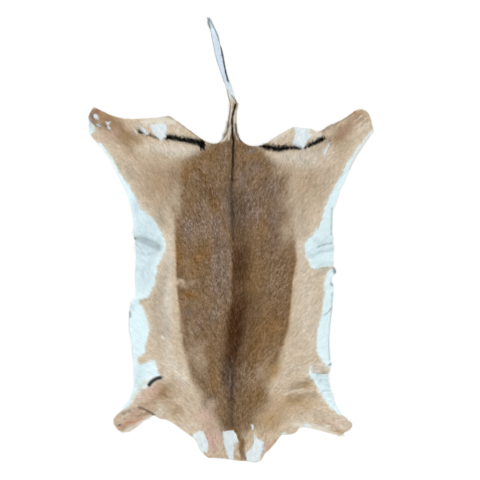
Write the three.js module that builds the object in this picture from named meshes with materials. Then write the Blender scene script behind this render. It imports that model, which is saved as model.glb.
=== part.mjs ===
import * as THREE from "three";

// A dressed antelope hide lying flat, hair side up, with its tail left on.
// Millimetres. +X is right, +Y runs from the neck to the tail, +Z is the hair side,
// and the flesh side rests on z = 0.

// thickness of skin and hair
const SKIN = 1.3; // dressed leather alone
const COAT = 2.8; // short hair lying on the back and flanks
const BELLY_COAT = 4.6; // longer white hair along both sides
const TAIL_COAT = 7.4; // the tail is a round roll of skin and hair
const TRIMMED_RIM = 1.7; // skin and thinned hair at the cut edge
const RIM_RISE = 11; // distance from the edge to the full coat
const TAIL_RISE = 8;
const TAIL_BASE = 292; // the tail starts above this line
const TAIL_BLEND = 30; // and is round this much further up
const TAIL_SWAY = 75; // it stays this close to the middle
const STUBBLE = 0.35; // what is left of the coat where the hair has slipped

// mesh sizes
const EDGE_STEP = 8.5;
const TAIL_STEP = 5.5;
const FINE = 8.4; // spacing on folds and bare places
const OPEN = 25; // spacing on the smooth back
const SPREAD = 0.8; // how fast spacing grows away from a fold
const LEVELS = [FINE, FINE * 1.4, FINE * 2, OPEN];
const RING_STEP = EDGE_STEP * 1.25; // along the ring inside the edge
const RING_SLACK = 0.85; // how much nearer the edge a ring point may come in a bend
const EDGE_ROOM = 0.55; // least distance to the edge and to a neighbour, in spacings
const NEIGHBOUR_ROOM = 0.72;

// the outline, clockwise from the left hind leg, in runs between corners
const OUTLINE = [
  { name: "rump_left", step: EDGE_STEP, xy: [
    [-390, 379], [-377, 372], [-360, 364], [-331, 351], [-289, 344], [-246, 345], [-203, 348],
    [-176, 352], [-160, 342], [-132, 324], [-103, 304], [-81, 288], [-64, 280], [-49, 277],
    [-36, 280], [-27, 291]] },
  { name: "tail_left", step: TAIL_STEP, xy: [
    [-27, 291], [-14, 314], [-9, 348], [-5, 371], [-5, 391], [-9, 408], [-15, 435], [-27, 469],
    [-35, 493], [-44, 521], [-50, 548], [-55, 575], [-60, 599], [-64, 613], [-66, 631]] },
  { name: "tail_right", step: TAIL_STEP, xy: [
    [-66, 631], [-62, 633], [-56, 625], [-46, 605], [-37, 585], [-32, 560], [-23, 532],
    [-17, 499], [-8, 462], [-1, 444], [6, 421], [12, 402], [19, 387]] },
  { name: "tail_root", step: TAIL_STEP, xy: [
    [19, 387], [16, 368], [15, 345], [16, 322], [22, 295], [33, 283]] },
  { name: "rump_right", step: EDGE_STEP, xy: [
    [33, 283], [50, 271], [70, 270], [93, 275], [125, 293], [153, 309], [176, 321], [207, 319],
    [227, 316], [239, 308], [256, 311], [276, 325], [301, 335], [330, 352], [353, 368],
    [365, 373]] },
  { name: "hock_right", step: EDGE_STEP, xy: [
    [365, 373], [384, 366], [395, 347], [400, 324], [404, 310], [395, 297]] },
  { name: "flank_right_high", step: EDGE_STEP, xy: [
    [395, 297], [372, 265], [350, 230], [334, 197], [325, 171], [310, 143], [300, 112], [289, 83],
    [287, 43], [288, -8], [290, -39], [287, -75]] },
  { name: "flank_right_low", step: EDGE_STEP, xy: [
    [287, -75], [298, -89], [286, -108], [290, -139], [288, -176], [285, -216], [281, -250],
    [278, -302], [282, -342], [287, -356], [277, -377], [278, -404], [286, -433], [296, -466],
    [310, -491], [330, -510]] },
  { name: "foreleg_right", step: EDGE_STEP, xy: [
    [330, -510], [344, -523], [340, -537], [324, -550], [304, -561], [276, -553], [247, -545],
    [227, -538], [213, -533], [194, -534]] },
  { name: "throat_right", step: EDGE_STEP, xy: [
    [194, -534], [179, -550], [156, -554], [143, -555], [127, -575], [110, -595], [96, -608],
    [85, -627]] },
  { name: "neck", step: EDGE_STEP, xy: [
    [85, -627], [68, -633], [43, -629], [8, -626], [-15, -623], [-44, -619], [-66, -620]] },
  { name: "throat_left", step: EDGE_STEP, xy: [
    [-66, -620], [-79, -609], [-90, -595], [-102, -569], [-118, -556], [-143, -538], [-166, -521],
    [-186, -511], [-203, -508], [-219, -498]] },
  { name: "foreleg_left", step: EDGE_STEP, xy: [
    [-219, -498], [-243, -511], [-269, -534], [-292, -549], [-316, -546], [-329, -531],
    [-334, -514], [-326, -498], [-306, -481]] },
  { name: "flank_left_low", step: EDGE_STEP, xy: [
    [-306, -481], [-289, -457], [-278, -427], [-275, -393], [-277, -353], [-280, -324],
    [-282, -293], [-290, -259], [-290, -216], [-287, -185], [-276, -171]] },
  { name: "flank_left_high", step: EDGE_STEP, xy: [
    [-276, -171], [-272, -153], [-274, -105], [-271, -45], [-273, -8], [-277, 12], [-278, 52],
    [-286, 94], [-297, 129], [-320, 180], [-341, 223], [-363, 256], [-386, 283], [-404, 304]] },
  { name: "hock_left", step: EDGE_STEP, xy: [
    [-404, 304], [-405, 331], [-404, 355], [-390, 379]] },
];

// folds: ridges where the skin lifts off the ground
// line is the crest, half is the reach to each side, rise is the height of the skin there
const FOLDS = [
  { at: "left flank, above the hollow", line: [[-279, 20], [-238, 12], [-206, 0]], half: 17, rise: 6 },
  { at: "left flank, below the hollow", line: [[-275, -22], [-238, -34], [-212, -28]], half: 16, rise: 7 },
  { at: "left belly lobe, upper edge", line: [[-284, -178], [-256, -176], [-236, -172]], half: 14, rise: 5 },
  { at: "left armpit", line: [[-238, -400], [-224, -386], [-198, -380]], half: 14, rise: 6 },
  { at: "left armpit, rim", line: [[-277, -372], [-262, -398], [-250, -420]], half: 16, rise: 3.5 },
  { at: "left foreleg, outer lip", line: [[-280, -486], [-256, -496], [-236, -506]], half: 15, rise: 7 },
  { at: "left foreleg, inner lip", line: [[-262, -456], [-240, -468], [-214, -482]], half: 16, rise: 4 },
  { at: "left foreleg, ridge", line: [[-318, -518], [-290, -522], [-262, -510]], half: 20, rise: 3 },
  { at: "right flank, upper lip", line: [[289, 6], [262, 2], [240, -10]], half: 15, rise: 4 },
  { at: "right flank, ridge", line: [[290, -20], [256, -26], [222, -42]], half: 14, rise: 8 },
  { at: "right flank, lower lip", line: [[288, -62], [262, -66], [238, -72]], half: 14, rise: 4 },
  { at: "right flank, tan point", line: [[290, -86], [264, -88], [238, -94]], half: 13, rise: 5.5 },
  { at: "right armpit, tongue", line: [[280, -372], [256, -372], [232, -366]], half: 13, rise: 6 },
  { at: "right armpit, first wrinkle", line: [[280, -391], [256, -391], [236, -389]], half: 11, rise: 5 },
  { at: "right armpit, second wrinkle", line: [[282, -410], [262, -408], [246, -404]], half: 12, rise: 5 },
  { at: "right armpit, third wrinkle", line: [[290, -442], [270, -437], [254, -430]], half: 15, rise: 4.5 },
  { at: "right foreleg, ridge", line: [[240, -506], [286, -514], [328, -524]], half: 24, rise: 3.5 },
  { at: "left hind leg, top edge", line: [[-366, 352], [-300, 330], [-230, 330]], half: 26, rise: 3 },
  { at: "right hind leg, top edge", line: [[250, 300], [300, 322], [362, 350]], half: 26, rise: 3 },
  { at: "right hind leg, lower edge", line: [[384, 296], [352, 250], [330, 206]], half: 20, rise: 2.5 },
  { at: "left hind leg, lower edge", line: [[-388, 300], [-346, 246], [-322, 204]], half: 20, rise: 2.5 },
  { at: "neck, left wave", line: [[-40, -620], [-42, -585], [-46, -545]], half: 26, rise: 4 },
  { at: "neck, right wave", line: [[24, -628], [26, -590], [30, -550]], half: 24, rise: 3.5 },
  { at: "rump, left of the tail", line: [[-66, 274], [-44, 262], [-22, 262]], half: 18, rise: 3 },
  { at: "rump, right of the tail", line: [[26, 262], [52, 256], [78, 262]], half: 18, rise: 3 },
  { at: "tail, twist", line: [[-2, 372], [8, 380], [20, 392]], half: 13, rise: 4.5 },
];

// broad swells between the folds
const SWELLS = [
  { at: "left shoulder", x: -170, y: -430, reach: 70, rise: 2.2 },
  { at: "right shoulder", x: 160, y: -440, reach: 75, rise: 2.4 },
  { at: "left flank", x: -225, y: -90, reach: 55, rise: 2.4 },
  { at: "right flank", x: 245, y: -190, reach: 60, rise: 2.2 },
  { at: "left haunch", x: -250, y: 250, reach: 70, rise: 2.2 },
  { at: "right haunch", x: 270, y: 200, reach: 70, rise: 2.2 },
  { at: "left edge, low", x: -270, y: -300, reach: 45, rise: 2.6 },
  { at: "right edge, high", x: 290, y: 110, reach: 45, rise: 2 },
];

// places where the hair has slipped and only skin is left
// along is half the length on the turned axis, across is half the width, turn is in degrees
const BARE = [
  { at: "neck, left", x: -82, y: -584, along: 34, across: 15, turn: 118 },
  { at: "neck, middle", x: -2, y: -575, along: 48, across: 18, turn: 96 },
  { at: "neck, right", x: 66, y: -598, along: 44, across: 20, turn: 74 },
  { at: "left haunch", x: -206, y: 300, along: 24, across: 20, turn: 0 },
  { at: "right haunch", x: 204, y: 294, along: 28, across: 22, turn: 0 },
  { at: "left leg, long slits", x: -262, y: 310, along: 22, across: 12, turn: 90 },
];

// white belly hair, deeper than the coat, along both side edges
const BELLY = [
  { at: "left", x: -268, low: -352, high: -176, reach: 34 },
  { at: "right", x: 272, low: -340, high: -110, reach: 30 },
];


const onTail = (x, y) => y > TAIL_BASE && Math.abs(x) < TAIL_SWAY;

const smooth = (t) => {
  const c = Math.min(1, Math.max(0, t));
  return c * c * (3 - 2 * c);
};

function toSegment(x, y, [ax, ay], [bx, by]) {
  const dx = bx - ax;
  const dy = by - ay;
  const t = Math.min(1, Math.max(0, ((x - ax) * dx + (y - ay) * dy) / (dx * dx + dy * dy)));
  return Math.hypot(x - ax - t * dx, y - ay - t * dy);
}

function toLine(x, y, line) {
  let least = Infinity;
  for (let i = 1; i < line.length; i++) {
    least = Math.min(least, toSegment(x, y, line[i - 1], line[i]));
  }
  return least;
}

// each run is a smooth curve through its points; the runs meet in corners
function drawOutline() {
  const loop = [];
  for (const { xy, step } of OUTLINE) {
    const curve = new THREE.CatmullRomCurve3(
      xy.map(([x, y]) => new THREE.Vector3(x, y, 0)), false, "centripetal");
    const count = Math.max(1, Math.round(curve.getLength() / step));
    for (const p of curve.getSpacedPoints(count).slice(0, -1)) loop.push([p.x, p.y]);
  }
  return loop.reverse();
}

const outline = drawOutline();

function toEdge(x, y) {
  let least = Infinity;
  outline.forEach((a, i) => {
    least = Math.min(least, toSegment(x, y, a, outline[(i + 1) % outline.length]));
  });
  return least;
}

function inside(x, y) {
  let odd = false;
  outline.forEach(([ax, ay], i) => {
    const [bx, by] = outline[(i + 1) % outline.length];
    if ((ay > y) !== (by > y) && x < ((bx - ax) * (y - ay)) / (by - ay) + ax) odd = !odd;
  });
  return odd;
}

// height of the skin above the ground: zero wherever the hide lies flat
function lift(x, y) {
  let z = 0;
  for (const { line, half, rise } of FOLDS) {
    z += rise * smooth(1 - toLine(x, y, line) / half);
  }
  for (const s of SWELLS) {
    z += s.rise * smooth(1 - Math.hypot(x - s.x, y - s.y) / s.reach);
  }
  return z;
}

// 0 on full coat, 1 in the middle of a bare place
function bareness(x, y) {
  let most = 0;
  for (const b of BARE) {
    const a = THREE.MathUtils.degToRad(b.turn);
    const u = ((x - b.x) * Math.cos(a) + (y - b.y) * Math.sin(a)) / b.along;
    const v = ((y - b.y) * Math.cos(a) - (x - b.x) * Math.sin(a)) / b.across;
    most = Math.max(most, smooth((1.15 - Math.hypot(u, v)) / 0.4));
  }
  return most;
}

function bellyShare(x, y) {
  let most = 0;
  for (const { x: bx, low, high, reach } of BELLY) {
    const gone = toSegment(x, y, [bx, low], [bx, high]) / reach;
    most = Math.max(most, smooth(1.4 - gone));
  }
  return most;
}

function thickness(x, y, edge) {
  const round = onTail(x, y) ? smooth((y - TAIL_BASE) / TAIL_BLEND) : 0;
  const rise = RIM_RISE + (TAIL_RISE - RIM_RISE) * round;
  let coat = COAT + (BELLY_COAT - COAT) * bellyShare(x, y);
  coat += (TAIL_COAT - coat) * round;
  coat += (STUBBLE - coat) * bareness(x, y);
  const full = SKIN + coat;
  const grown = Math.sin((Math.PI / 2) * Math.min(1, edge / rise));
  const rim = Math.min(TRIMMED_RIM, full);
  return rim + (full - rim) * grown;
}

// spacing of points wanted here: fine on folds, bare places and the tail
function wanted(x, y) {
  let away = Infinity;
  for (const { line, half } of FOLDS) away = Math.min(away, toLine(x, y, line) - half);
  for (const b of BARE) away = Math.min(away, Math.hypot(x - b.x, y - b.y) - b.along);
  if (onTail(x, y)) away = 0;
  return Math.min(OPEN, FINE + SPREAD * Math.max(0, away));
}

// outline points first, then one ring where the coat is full, then honeycomb rows inside
function scatter() {
  const points = outline.map((p) => [...p]);
  const ringStart = points.length;
  const free = (x, y, gap) => points.every(([px, py], i) =>
    i < ringStart || Math.hypot(px - x, py - y) >= gap);
  outline.forEach(([x, y], i) => {
    const [px, py] = outline[(i + outline.length - 1) % outline.length];
    const [nx, ny] = outline[(i + 1) % outline.length];
    const along = Math.hypot(nx - px, ny - py);
    const rx = x - ((ny - py) / along) * RIM_RISE;
    const ry = y + ((nx - px) / along) * RIM_RISE;
    if (!inside(rx, ry) || toEdge(rx, ry) < RIM_RISE * RING_SLACK) return;
    if (free(rx, ry, RING_STEP)) points.push([rx, ry]);
  });
  const halfWidth = Math.max(...outline.map(([x]) => Math.abs(x)));
  const halfLength = Math.max(...outline.map(([, y]) => Math.abs(y)));
  LEVELS.forEach((gap, level) => {
    const next = LEVELS[level + 1] ?? Infinity;
    const row = gap * Math.sin(Math.PI / 3);
    for (let j = -Math.ceil(halfLength / row); j * row < halfLength; j++) {
      for (let i = -Math.ceil(halfWidth / gap); i * gap < halfWidth; i++) {
        const x = (i + (j % 2 ? 0.5 : 0)) * gap;
        const y = j * row;
        const want = wanted(x, y);
        if (want < gap || want >= next || !inside(x, y)) continue;
        if (toEdge(x, y) > gap * EDGE_ROOM && free(x, y, gap * NEIGHBOUR_ROOM)) points.push([x, y]);
      }
    }
  });
  return points;
}

// flat triangles through scattered points, each circle through three points left empty
function triangulate(points) {
  const n = points.length;
  const far = 1e5;
  const all = [...points, [-far, -far], [far, -far], [0, far]];
  const circle = (a, b, c) => {
    const [ax, ay] = all[a];
    const bx = all[b][0] - ax;
    const by = all[b][1] - ay;
    const cx = all[c][0] - ax;
    const cy = all[c][1] - ay;
    const d = 2 * (bx * cy - by * cx);
    const ux = (cy * (bx * bx + by * by) - by * (cx * cx + cy * cy)) / d;
    const uy = (bx * (cx * cx + cy * cy) - cx * (bx * bx + by * by)) / d;
    return { a, b, c, x: ax + ux, y: ay + uy, r2: ux * ux + uy * uy };
  };
  let found = [circle(n, n + 1, n + 2)];
  for (let i = 0; i < n; i++) {
    const [x, y] = all[i];
    const sides = new Map();
    found = found.filter((t) => {
      if ((x - t.x) ** 2 + (y - t.y) ** 2 >= t.r2) return true;
      for (const [p, q] of [[t.a, t.b], [t.b, t.c], [t.c, t.a]]) {
        if (!sides.delete(`${q} ${p}`)) sides.set(`${p} ${q}`, [p, q]);
      }
      return false;
    });
    for (const [p, q] of sides.values()) found.push(circle(p, q, i));
  }
  return found.filter((t) => Math.max(t.a, t.b, t.c) < n).map((t) => [t.a, t.b, t.c]);
}

// hair side, flesh side and the cut edge between them make one closed body
function makeHide() {
  const points = scatter();
  const flat = triangulate(points).filter((t) => {
    const x = (points[t[0]][0] + points[t[1]][0] + points[t[2]][0]) / 3;
    const y = (points[t[0]][1] + points[t[1]][1] + points[t[2]][1]) / 3;
    return inside(x, y);
  });
  const n = points.length;
  const place = [];
  for (const [x, y] of points) place.push(x, y, lift(x, y));
  points.forEach(([x, y], i) => {
    const edge = i < outline.length ? 0 : toEdge(x, y);
    place.push(x, y, place[3 * i + 2] + thickness(x, y, edge));
  });
  const faces = [];
  const sides = new Map();
  for (const [a, b, c] of flat) {
    faces.push(a + n, b + n, c + n, a, c, b);
    for (const [p, q] of [[a, b], [b, c], [c, a]]) {
      if (!sides.delete(`${q} ${p}`)) sides.set(`${p} ${q}`, [p, q]);
    }
  }
  for (const [p, q] of sides.values()) faces.push(p, q, q + n, p, q + n, p + n);
  const geometry = new THREE.BufferGeometry();
  geometry.setAttribute("position", new THREE.Float32BufferAttribute(place, 3));
  geometry.setIndex(faces);
  return centred(geometry);
}

// the origin is on the ground, under the middle of the outline
function centred(geometry) {
  geometry.computeBoundingBox();
  const middle = geometry.boundingBox.getCenter(new THREE.Vector3());
  geometry.translate(-middle.x, -middle.y, 0);
  geometry.computeVertexNormals();
  return geometry;
}

const coat = new THREE.MeshStandardMaterial({ color: 0x9a7556, roughness: 0.85, metalness: 0 });
const hide = new THREE.Mesh(makeHide(), coat);
hide.name = "hide";

const part = new THREE.Group();
part.name = "antelope_hide";
part.add(hide);

export default part;
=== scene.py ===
# %% [markdown]
# # An impala hide, laid flat with the hair side up
# The real thing is one dressed antelope skin: a thin sheet of leather with its short coat left on,
# spread on the ground with the tail at the top, the cut neck at the bottom and a leg at each corner.
# We make it in two layers, as nature does. First comes the skin, one closed sheet on the folds of the
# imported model. Then the coat is grown on it, hair by hair, and combed the way the hair lies.
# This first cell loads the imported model, which gives the frame and the size that everything keeps to.
# %% Load the frame
import math
import bpy
import numpy as np
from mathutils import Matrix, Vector
from mathutils.geometry import delaunay_2d_cdt


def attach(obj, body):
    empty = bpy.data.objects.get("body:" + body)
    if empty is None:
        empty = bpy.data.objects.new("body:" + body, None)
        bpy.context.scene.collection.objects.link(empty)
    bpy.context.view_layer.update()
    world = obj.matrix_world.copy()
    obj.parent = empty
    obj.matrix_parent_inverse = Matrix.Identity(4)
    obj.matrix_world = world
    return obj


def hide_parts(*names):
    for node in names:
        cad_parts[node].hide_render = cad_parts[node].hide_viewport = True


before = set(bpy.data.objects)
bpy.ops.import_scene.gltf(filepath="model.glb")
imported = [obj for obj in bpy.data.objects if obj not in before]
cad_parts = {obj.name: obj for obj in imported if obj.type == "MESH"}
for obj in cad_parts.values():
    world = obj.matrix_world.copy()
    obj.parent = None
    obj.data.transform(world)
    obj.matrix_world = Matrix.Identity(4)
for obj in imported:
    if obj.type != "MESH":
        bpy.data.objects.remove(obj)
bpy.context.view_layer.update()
MM = 0.001  # the tables below are in millimetres, Blender's units are metres
SEED = 7

# %% [markdown]
# ## Floor, light and camera
# A hide is photographed from straight above, in soft even light, on a white floor. A bright even world
# does half of the lighting, so the coat shows its own colours. A key lamp up to the left adds enough
# direction to model the folds, and a weak fill lamp from the right keeps the far side of a fold open.
# Both are "suns" with a large angle: as bright at the neck as at the tail, which a lamp near the hide is
# not.
# %% Set the stage
WORLD_LIGHT = 0.63
FLOOR_HALF, FLOOR_Z = 20, -0.0008

scene = bpy.context.scene
scene.view_settings.view_transform = "Standard"
scene.view_settings.look = "None"

world = bpy.data.worlds.new("soft studio")
world.use_nodes = True
world.node_tree.nodes["Background"].inputs["Color"].default_value = (1.0, 1.0, 1.0, 1.0)
world.node_tree.nodes["Background"].inputs["Strength"].default_value = WORLD_LIGHT
scene.world = world


def soft_lamp(name, turned, lean, strength, spread):
    """A far lamp: turned is its compass angle from +X, lean its angle from straight overhead."""
    lamp = bpy.data.lights.new(name, "SUN")
    lamp.energy, lamp.angle = strength, math.radians(spread)
    holder = bpy.data.objects.new(name, lamp)
    turned, lean = math.radians(turned), math.radians(lean)
    towards = Vector((math.sin(lean) * math.cos(turned), math.sin(lean) * math.sin(turned),
                      math.cos(lean)))
    holder.location = towards * 3
    holder.rotation_euler = towards.to_track_quat("Z", "Y").to_euler()
    scene.collection.objects.link(holder)


soft_lamp("key", turned=139, lean=27, strength=1.38, spread=36)
soft_lamp("fill", turned=-25, lean=44, strength=0.42, spread=50)

floor_mesh = bpy.data.meshes.new("floor")
floor_mesh.from_pydata([(side * FLOOR_HALF, end * FLOOR_HALF, FLOOR_Z)
                        for side, end in ((-1, -1), (1, -1), (1, 1), (-1, 1))], [], [(0, 1, 2, 3)])
floor = bpy.data.objects.new("floor", floor_mesh)
scene.collection.objects.link(floor)
paper = bpy.data.materials.new("white paper floor")
paper.use_nodes = True
paper.node_tree.nodes["Principled BSDF"].inputs["Base Color"].default_value = (0.93, 0.93, 0.93, 1)
paper.node_tree.nodes["Principled BSDF"].inputs["Roughness"].default_value = 0.9
floor_mesh.materials.append(paper)
print("floor", 2 * FLOOR_HALF, "m wide, world light", WORLD_LIGHT)

# %% [markdown]
# The camera is a long lens far above, which sees the flat hide without stretching its edges. It hangs a
# little to the right of the hide's middle, as it did for the photograph.
# %% Hang the camera
VIEW_WIDTH = 1.368  # metres across the picture
VIEW_CENTRE = (0.0256, 0.0007)
LENS, SENSOR = 100, 36  # mm
camera_data = bpy.data.cameras.new("overhead")
camera_data.lens, camera_data.sensor_width = LENS, SENSOR
camera = bpy.data.objects.new("overhead", camera_data)
camera.location = (*VIEW_CENTRE, VIEW_WIDTH * LENS / SENSOR)
scene.collection.objects.link(camera)
scene.camera = camera
print("camera is", round(camera.location.z, 3), "m above the floor")

# %% [markdown]
# ## The outline
# A knife drew this shape: along the belly, round the four legs, straight across the neck. Such a line
# is smooth between its corners, so it is kept as short runs of points in millimetres, each from one
# corner to the next. The points, here and in the markings below, were read on enlargements of the
# photograph with a ruled grid over them, and scaled to real size.
# %% Draw the outline
OUTLINE = {
    "rump left": [
        (-390, 379), (-377, 372), (-360, 364), (-331, 351), (-289, 344), (-246, 345), (-203, 348),
        (-176, 352), (-160, 342), (-132, 323), (-103, 301), (-81, 285), (-64, 277), (-49, 273),
        (-36, 276), (-25, 288)],
    "tail left": [
        (-25, 288), (-13, 314), (-9, 348), (-5, 371), (-5, 391), (-9, 408), (-15, 435), (-27, 469),
        (-35, 493), (-44, 521), (-50, 548), (-55, 575), (-60, 599), (-64, 613), (-66, 631)],
    "tail right": [
        (-66, 631), (-62, 633), (-56, 625), (-46, 605), (-37, 585), (-32, 560), (-23, 532),
        (-17, 499), (-8, 462), (-1, 444), (6, 421), (12, 402), (19, 387)],
    "tail root": [(19, 387), (16, 368), (15, 345), (15, 322), (20, 294), (31, 280)],
    "rump right": [
        (31, 280), (50, 268), (70, 266), (93, 272), (125, 293), (153, 309), (176, 321), (207, 319),
        (227, 316), (239, 308), (256, 311), (276, 325), (301, 335), (330, 352), (353, 368),
        (365, 373)],
    "hock right": [(365, 373), (384, 366), (395, 347), (400, 324), (404, 310), (395, 297)],
    "flank right, high": [
        (395, 297), (372, 265), (350, 230), (334, 197), (325, 171), (310, 143), (300, 112),
        (289, 83), (287, 43), (288, -8), (290, -39), (287, -75)],
    "flank right, low": [
        (287, -75), (298, -89), (286, -108), (290, -139), (288, -176), (284, -216), (280, -250),
        (278, -302), (281, -342), (284, -356), (274, -377), (275, -404), (284, -433), (295, -466),
        (309, -491), (330, -510)],
    "foreleg right": [
        (330, -510), (342, -522), (339, -535), (322, -548), (306, -556), (278, -549), (248, -541),
        (227, -536), (213, -533), (194, -534)],
    "throat right": [
        (194, -534), (179, -550), (156, -554), (143, -555), (127, -575), (110, -595), (96, -608),
        (85, -627)],
    "neck": [(85, -627), (68, -633), (43, -629), (8, -626), (-15, -623), (-44, -619), (-66, -620)],
    "throat left": [
        (-66, -620), (-79, -609), (-90, -595), (-102, -569), (-118, -556), (-143, -538),
        (-166, -521), (-186, -511), (-203, -508), (-219, -498)],
    "foreleg left": [
        (-219, -498), (-243, -508), (-269, -531), (-292, -545), (-314, -544), (-328, -530),
        (-334, -514), (-326, -498), (-306, -481)],
    "flank left, low": [
        (-306, -481), (-289, -457), (-278, -427), (-275, -393), (-277, -353), (-280, -324),
        (-282, -293), (-290, -259), (-290, -216), (-287, -185), (-276, -171)],
    "flank left, high": [
        (-276, -171), (-272, -153), (-274, -105), (-271, -45), (-273, -8), (-277, 12), (-278, 52),
        (-286, 94), (-297, 129), (-320, 180), (-341, 223), (-363, 256), (-386, 283), (-404, 304)],
    "hock left": [(-404, 304), (-405, 331), (-404, 355), (-390, 379)],
}
print(len(OUTLINE), "runs,", sum(len(points) for points in OUTLINE.values()), "points")

# %% [markdown]
# A smooth curve goes through each run. It is the centripetal kind, which never loops or overshoots where
# points are close together. The fine ring becomes the cut edge. A rougher one will do wherever only the
# distance to the edge is asked.
# %% Smooth the outline
CURVE_STEPS = 14  # between two points of a run
EDGE_STEP, ROUGH_STEP = 3.2, 8  # mm between the points of the finished ring


def smooth_run(points, step):
    """A centripetal curve through the points, cut into equal steps, without its last point."""
    p = np.array(points, float)
    p = np.vstack([2 * p[0] - p[1], p, 2 * p[-1] - p[-2]])
    pieces = []
    for a, b, c, d in zip(p[:-3], p[1:-2], p[2:-1], p[3:]):
        t0 = 0.0
        t1 = t0 + np.sqrt(np.linalg.norm(b - a))
        t2 = t1 + np.sqrt(np.linalg.norm(c - b))
        t3 = t2 + np.sqrt(np.linalg.norm(d - c))
        t = np.linspace(t1, t2, CURVE_STEPS, endpoint=False)[:, None]
        a1 = (t1 - t) / (t1 - t0) * a + (t - t0) / (t1 - t0) * b
        a2 = (t2 - t) / (t2 - t1) * b + (t - t1) / (t2 - t1) * c
        a3 = (t3 - t) / (t3 - t2) * c + (t - t2) / (t3 - t2) * d
        b1 = (t2 - t) / (t2 - t0) * a1 + (t - t0) / (t2 - t0) * a2
        b2 = (t3 - t) / (t3 - t1) * a2 + (t - t1) / (t3 - t1) * a3
        pieces.append((t2 - t) / (t2 - t1) * b1 + (t - t1) / (t2 - t1) * b2)
    fine = np.vstack(pieces + [p[-2:-1]])
    run = np.concatenate([[0], np.cumsum(np.linalg.norm(np.diff(fine, axis=0), axis=1))])
    stops = np.linspace(0, run[-1], max(1, round(run[-1] / step)) + 1)[:-1]
    return np.stack([np.interp(stops, run, fine[:, k]) for k in (0, 1)], axis=1)


ring = np.vstack([smooth_run(points, EDGE_STEP) for points in OUTLINE.values()])
middle = (ring.max(axis=0) + ring.min(axis=0)) / 2
ring = ring - middle
rough_ring = np.vstack([smooth_run(points, ROUGH_STEP) for points in OUTLINE.values()]) - middle
rough_outline = [tuple(p) for p in rough_ring]
print(len(ring), "points on the outline;", "box", ring.max(axis=0) - ring.min(axis=0), "mm")

# %% [markdown]
# ## Measuring from lines and areas
# Every mark on a hide has a place: a stripe follows a line, a white belly fills an area. We need two
# rulers for that. One gives the distance to a line, the other the distance to the border of an area,
# above zero inside it and below zero outside. A soft step turns a distance into a share from 0 to 1.
# %% Rulers
FAR = 1e9  # mm, further than anything on the hide


def soft_step(t):
    t = np.clip(t, 0, 1)
    return t * t * (3 - 2 * t)


def to_line(x, y, line):
    least = np.full(x.shape, FAR)
    for (ax, ay), (bx, by) in zip(line[:-1], line[1:]):
        dx, dy = bx - ax, by - ay
        t = np.clip(((x - ax) * dx + (y - ay) * dy) / (dx * dx + dy * dy), 0, 1)
        least = np.minimum(least, np.hypot(x - ax - t * dx, y - ay - t * dy))
    return least


def inside_by(x, y, area):
    closed = [*area, area[0]]
    odd = np.zeros(x.shape, bool)
    for (ax, ay), (bx, by) in zip(closed[:-1], closed[1:]):
        if ay != by:
            odd ^= ((ay > y) != (by > y)) & (x < (bx - ax) * (y - ay) / (by - ay) + ax)
    gap = to_line(x, y, closed)
    return np.where(odd, gap, -gap)


def oval(x, y, row):
    """0 outside a turned oval, rising softly to 1 in its middle."""
    turn = math.radians(row[4])
    u = ((x - row[0]) * math.cos(turn) + (y - row[1]) * math.sin(turn)) / row[2]
    v = ((y - row[1]) * math.cos(turn) - (x - row[0]) * math.sin(turn)) / row[3]
    return soft_step(1 - np.hypot(u, v))


# %% [markdown]
# ## Folds
# Dressed skin never lies quite flat. It lifts in low ridges at the armpits, where the flank was folded,
# and along the legs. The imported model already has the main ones, so the same crests and reaches are
# used here, in millimetres. To them we add finer creases that only a close look shows. A cloth
# simulation would put folds where it likes; placing soft ridges by hand puts them where they are.
# %% Folds and creases
# crest line, reach to each side, rise
FOLDS = {
    "left flank, above the hollow": ([(-279, 20), (-238, 12), (-206, 0)], 17, 6),
    "left flank, below the hollow": ([(-275, -22), (-238, -34), (-212, -28)], 16, 7),
    "left belly lobe, upper edge": ([(-284, -178), (-256, -176), (-236, -172)], 14, 5),
    "left armpit": ([(-238, -400), (-224, -386), (-198, -380)], 14, 6),
    "left armpit, rim": ([(-277, -372), (-262, -398), (-250, -420)], 16, 3.5),
    "left foreleg, outer lip": ([(-280, -486), (-256, -496), (-236, -506)], 15, 7),
    "left foreleg, inner lip": ([(-262, -456), (-240, -468), (-214, -482)], 16, 4),
    "left foreleg, ridge": ([(-318, -518), (-290, -522), (-262, -510)], 20, 3),
    "right flank, upper lip": ([(289, 6), (262, 2), (240, -10)], 15, 4),
    "right flank, ridge": ([(290, -20), (256, -26), (222, -42)], 14, 8),
    "right flank, lower lip": ([(288, -62), (262, -66), (238, -72)], 14, 4),
    "right flank, tan point": ([(290, -86), (264, -88), (238, -94)], 13, 5.5),
    "right armpit, tongue": ([(280, -372), (256, -372), (232, -366)], 13, 6),
    "right armpit, first wrinkle": ([(280, -391), (256, -391), (236, -389)], 11, 5),
    "right armpit, second wrinkle": ([(282, -410), (262, -408), (246, -404)], 12, 5),
    "right armpit, third wrinkle": ([(290, -442), (270, -437), (254, -430)], 15, 4.5),
    "right foreleg, ridge": ([(240, -506), (286, -514), (328, -524)], 24, 3.5),
    "left hind leg, top edge": ([(-366, 352), (-300, 330), (-230, 330)], 26, 3),
    "right hind leg, top edge": ([(250, 300), (300, 322), (362, 350)], 26, 3),
    "right hind leg, lower edge": ([(384, 296), (352, 250), (330, 206)], 20, 2.5),
    "left hind leg, lower edge": ([(-388, 300), (-346, 246), (-322, 204)], 20, 2.5),
    "neck, left wave": ([(-40, -620), (-42, -585), (-46, -545)], 26, 4),
    "neck, right wave": ([(24, -628), (26, -590), (30, -550)], 24, 3.5),
    "rump, left of the tail": ([(-66, 274), (-44, 262), (-22, 262)], 18, 3),
    "rump, right of the tail": ([(26, 262), (52, 256), (78, 262)], 18, 3),
    "tail, twist": ([(-2, 372), (8, 380), (20, 392)], 13, 4.5),
}
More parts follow.
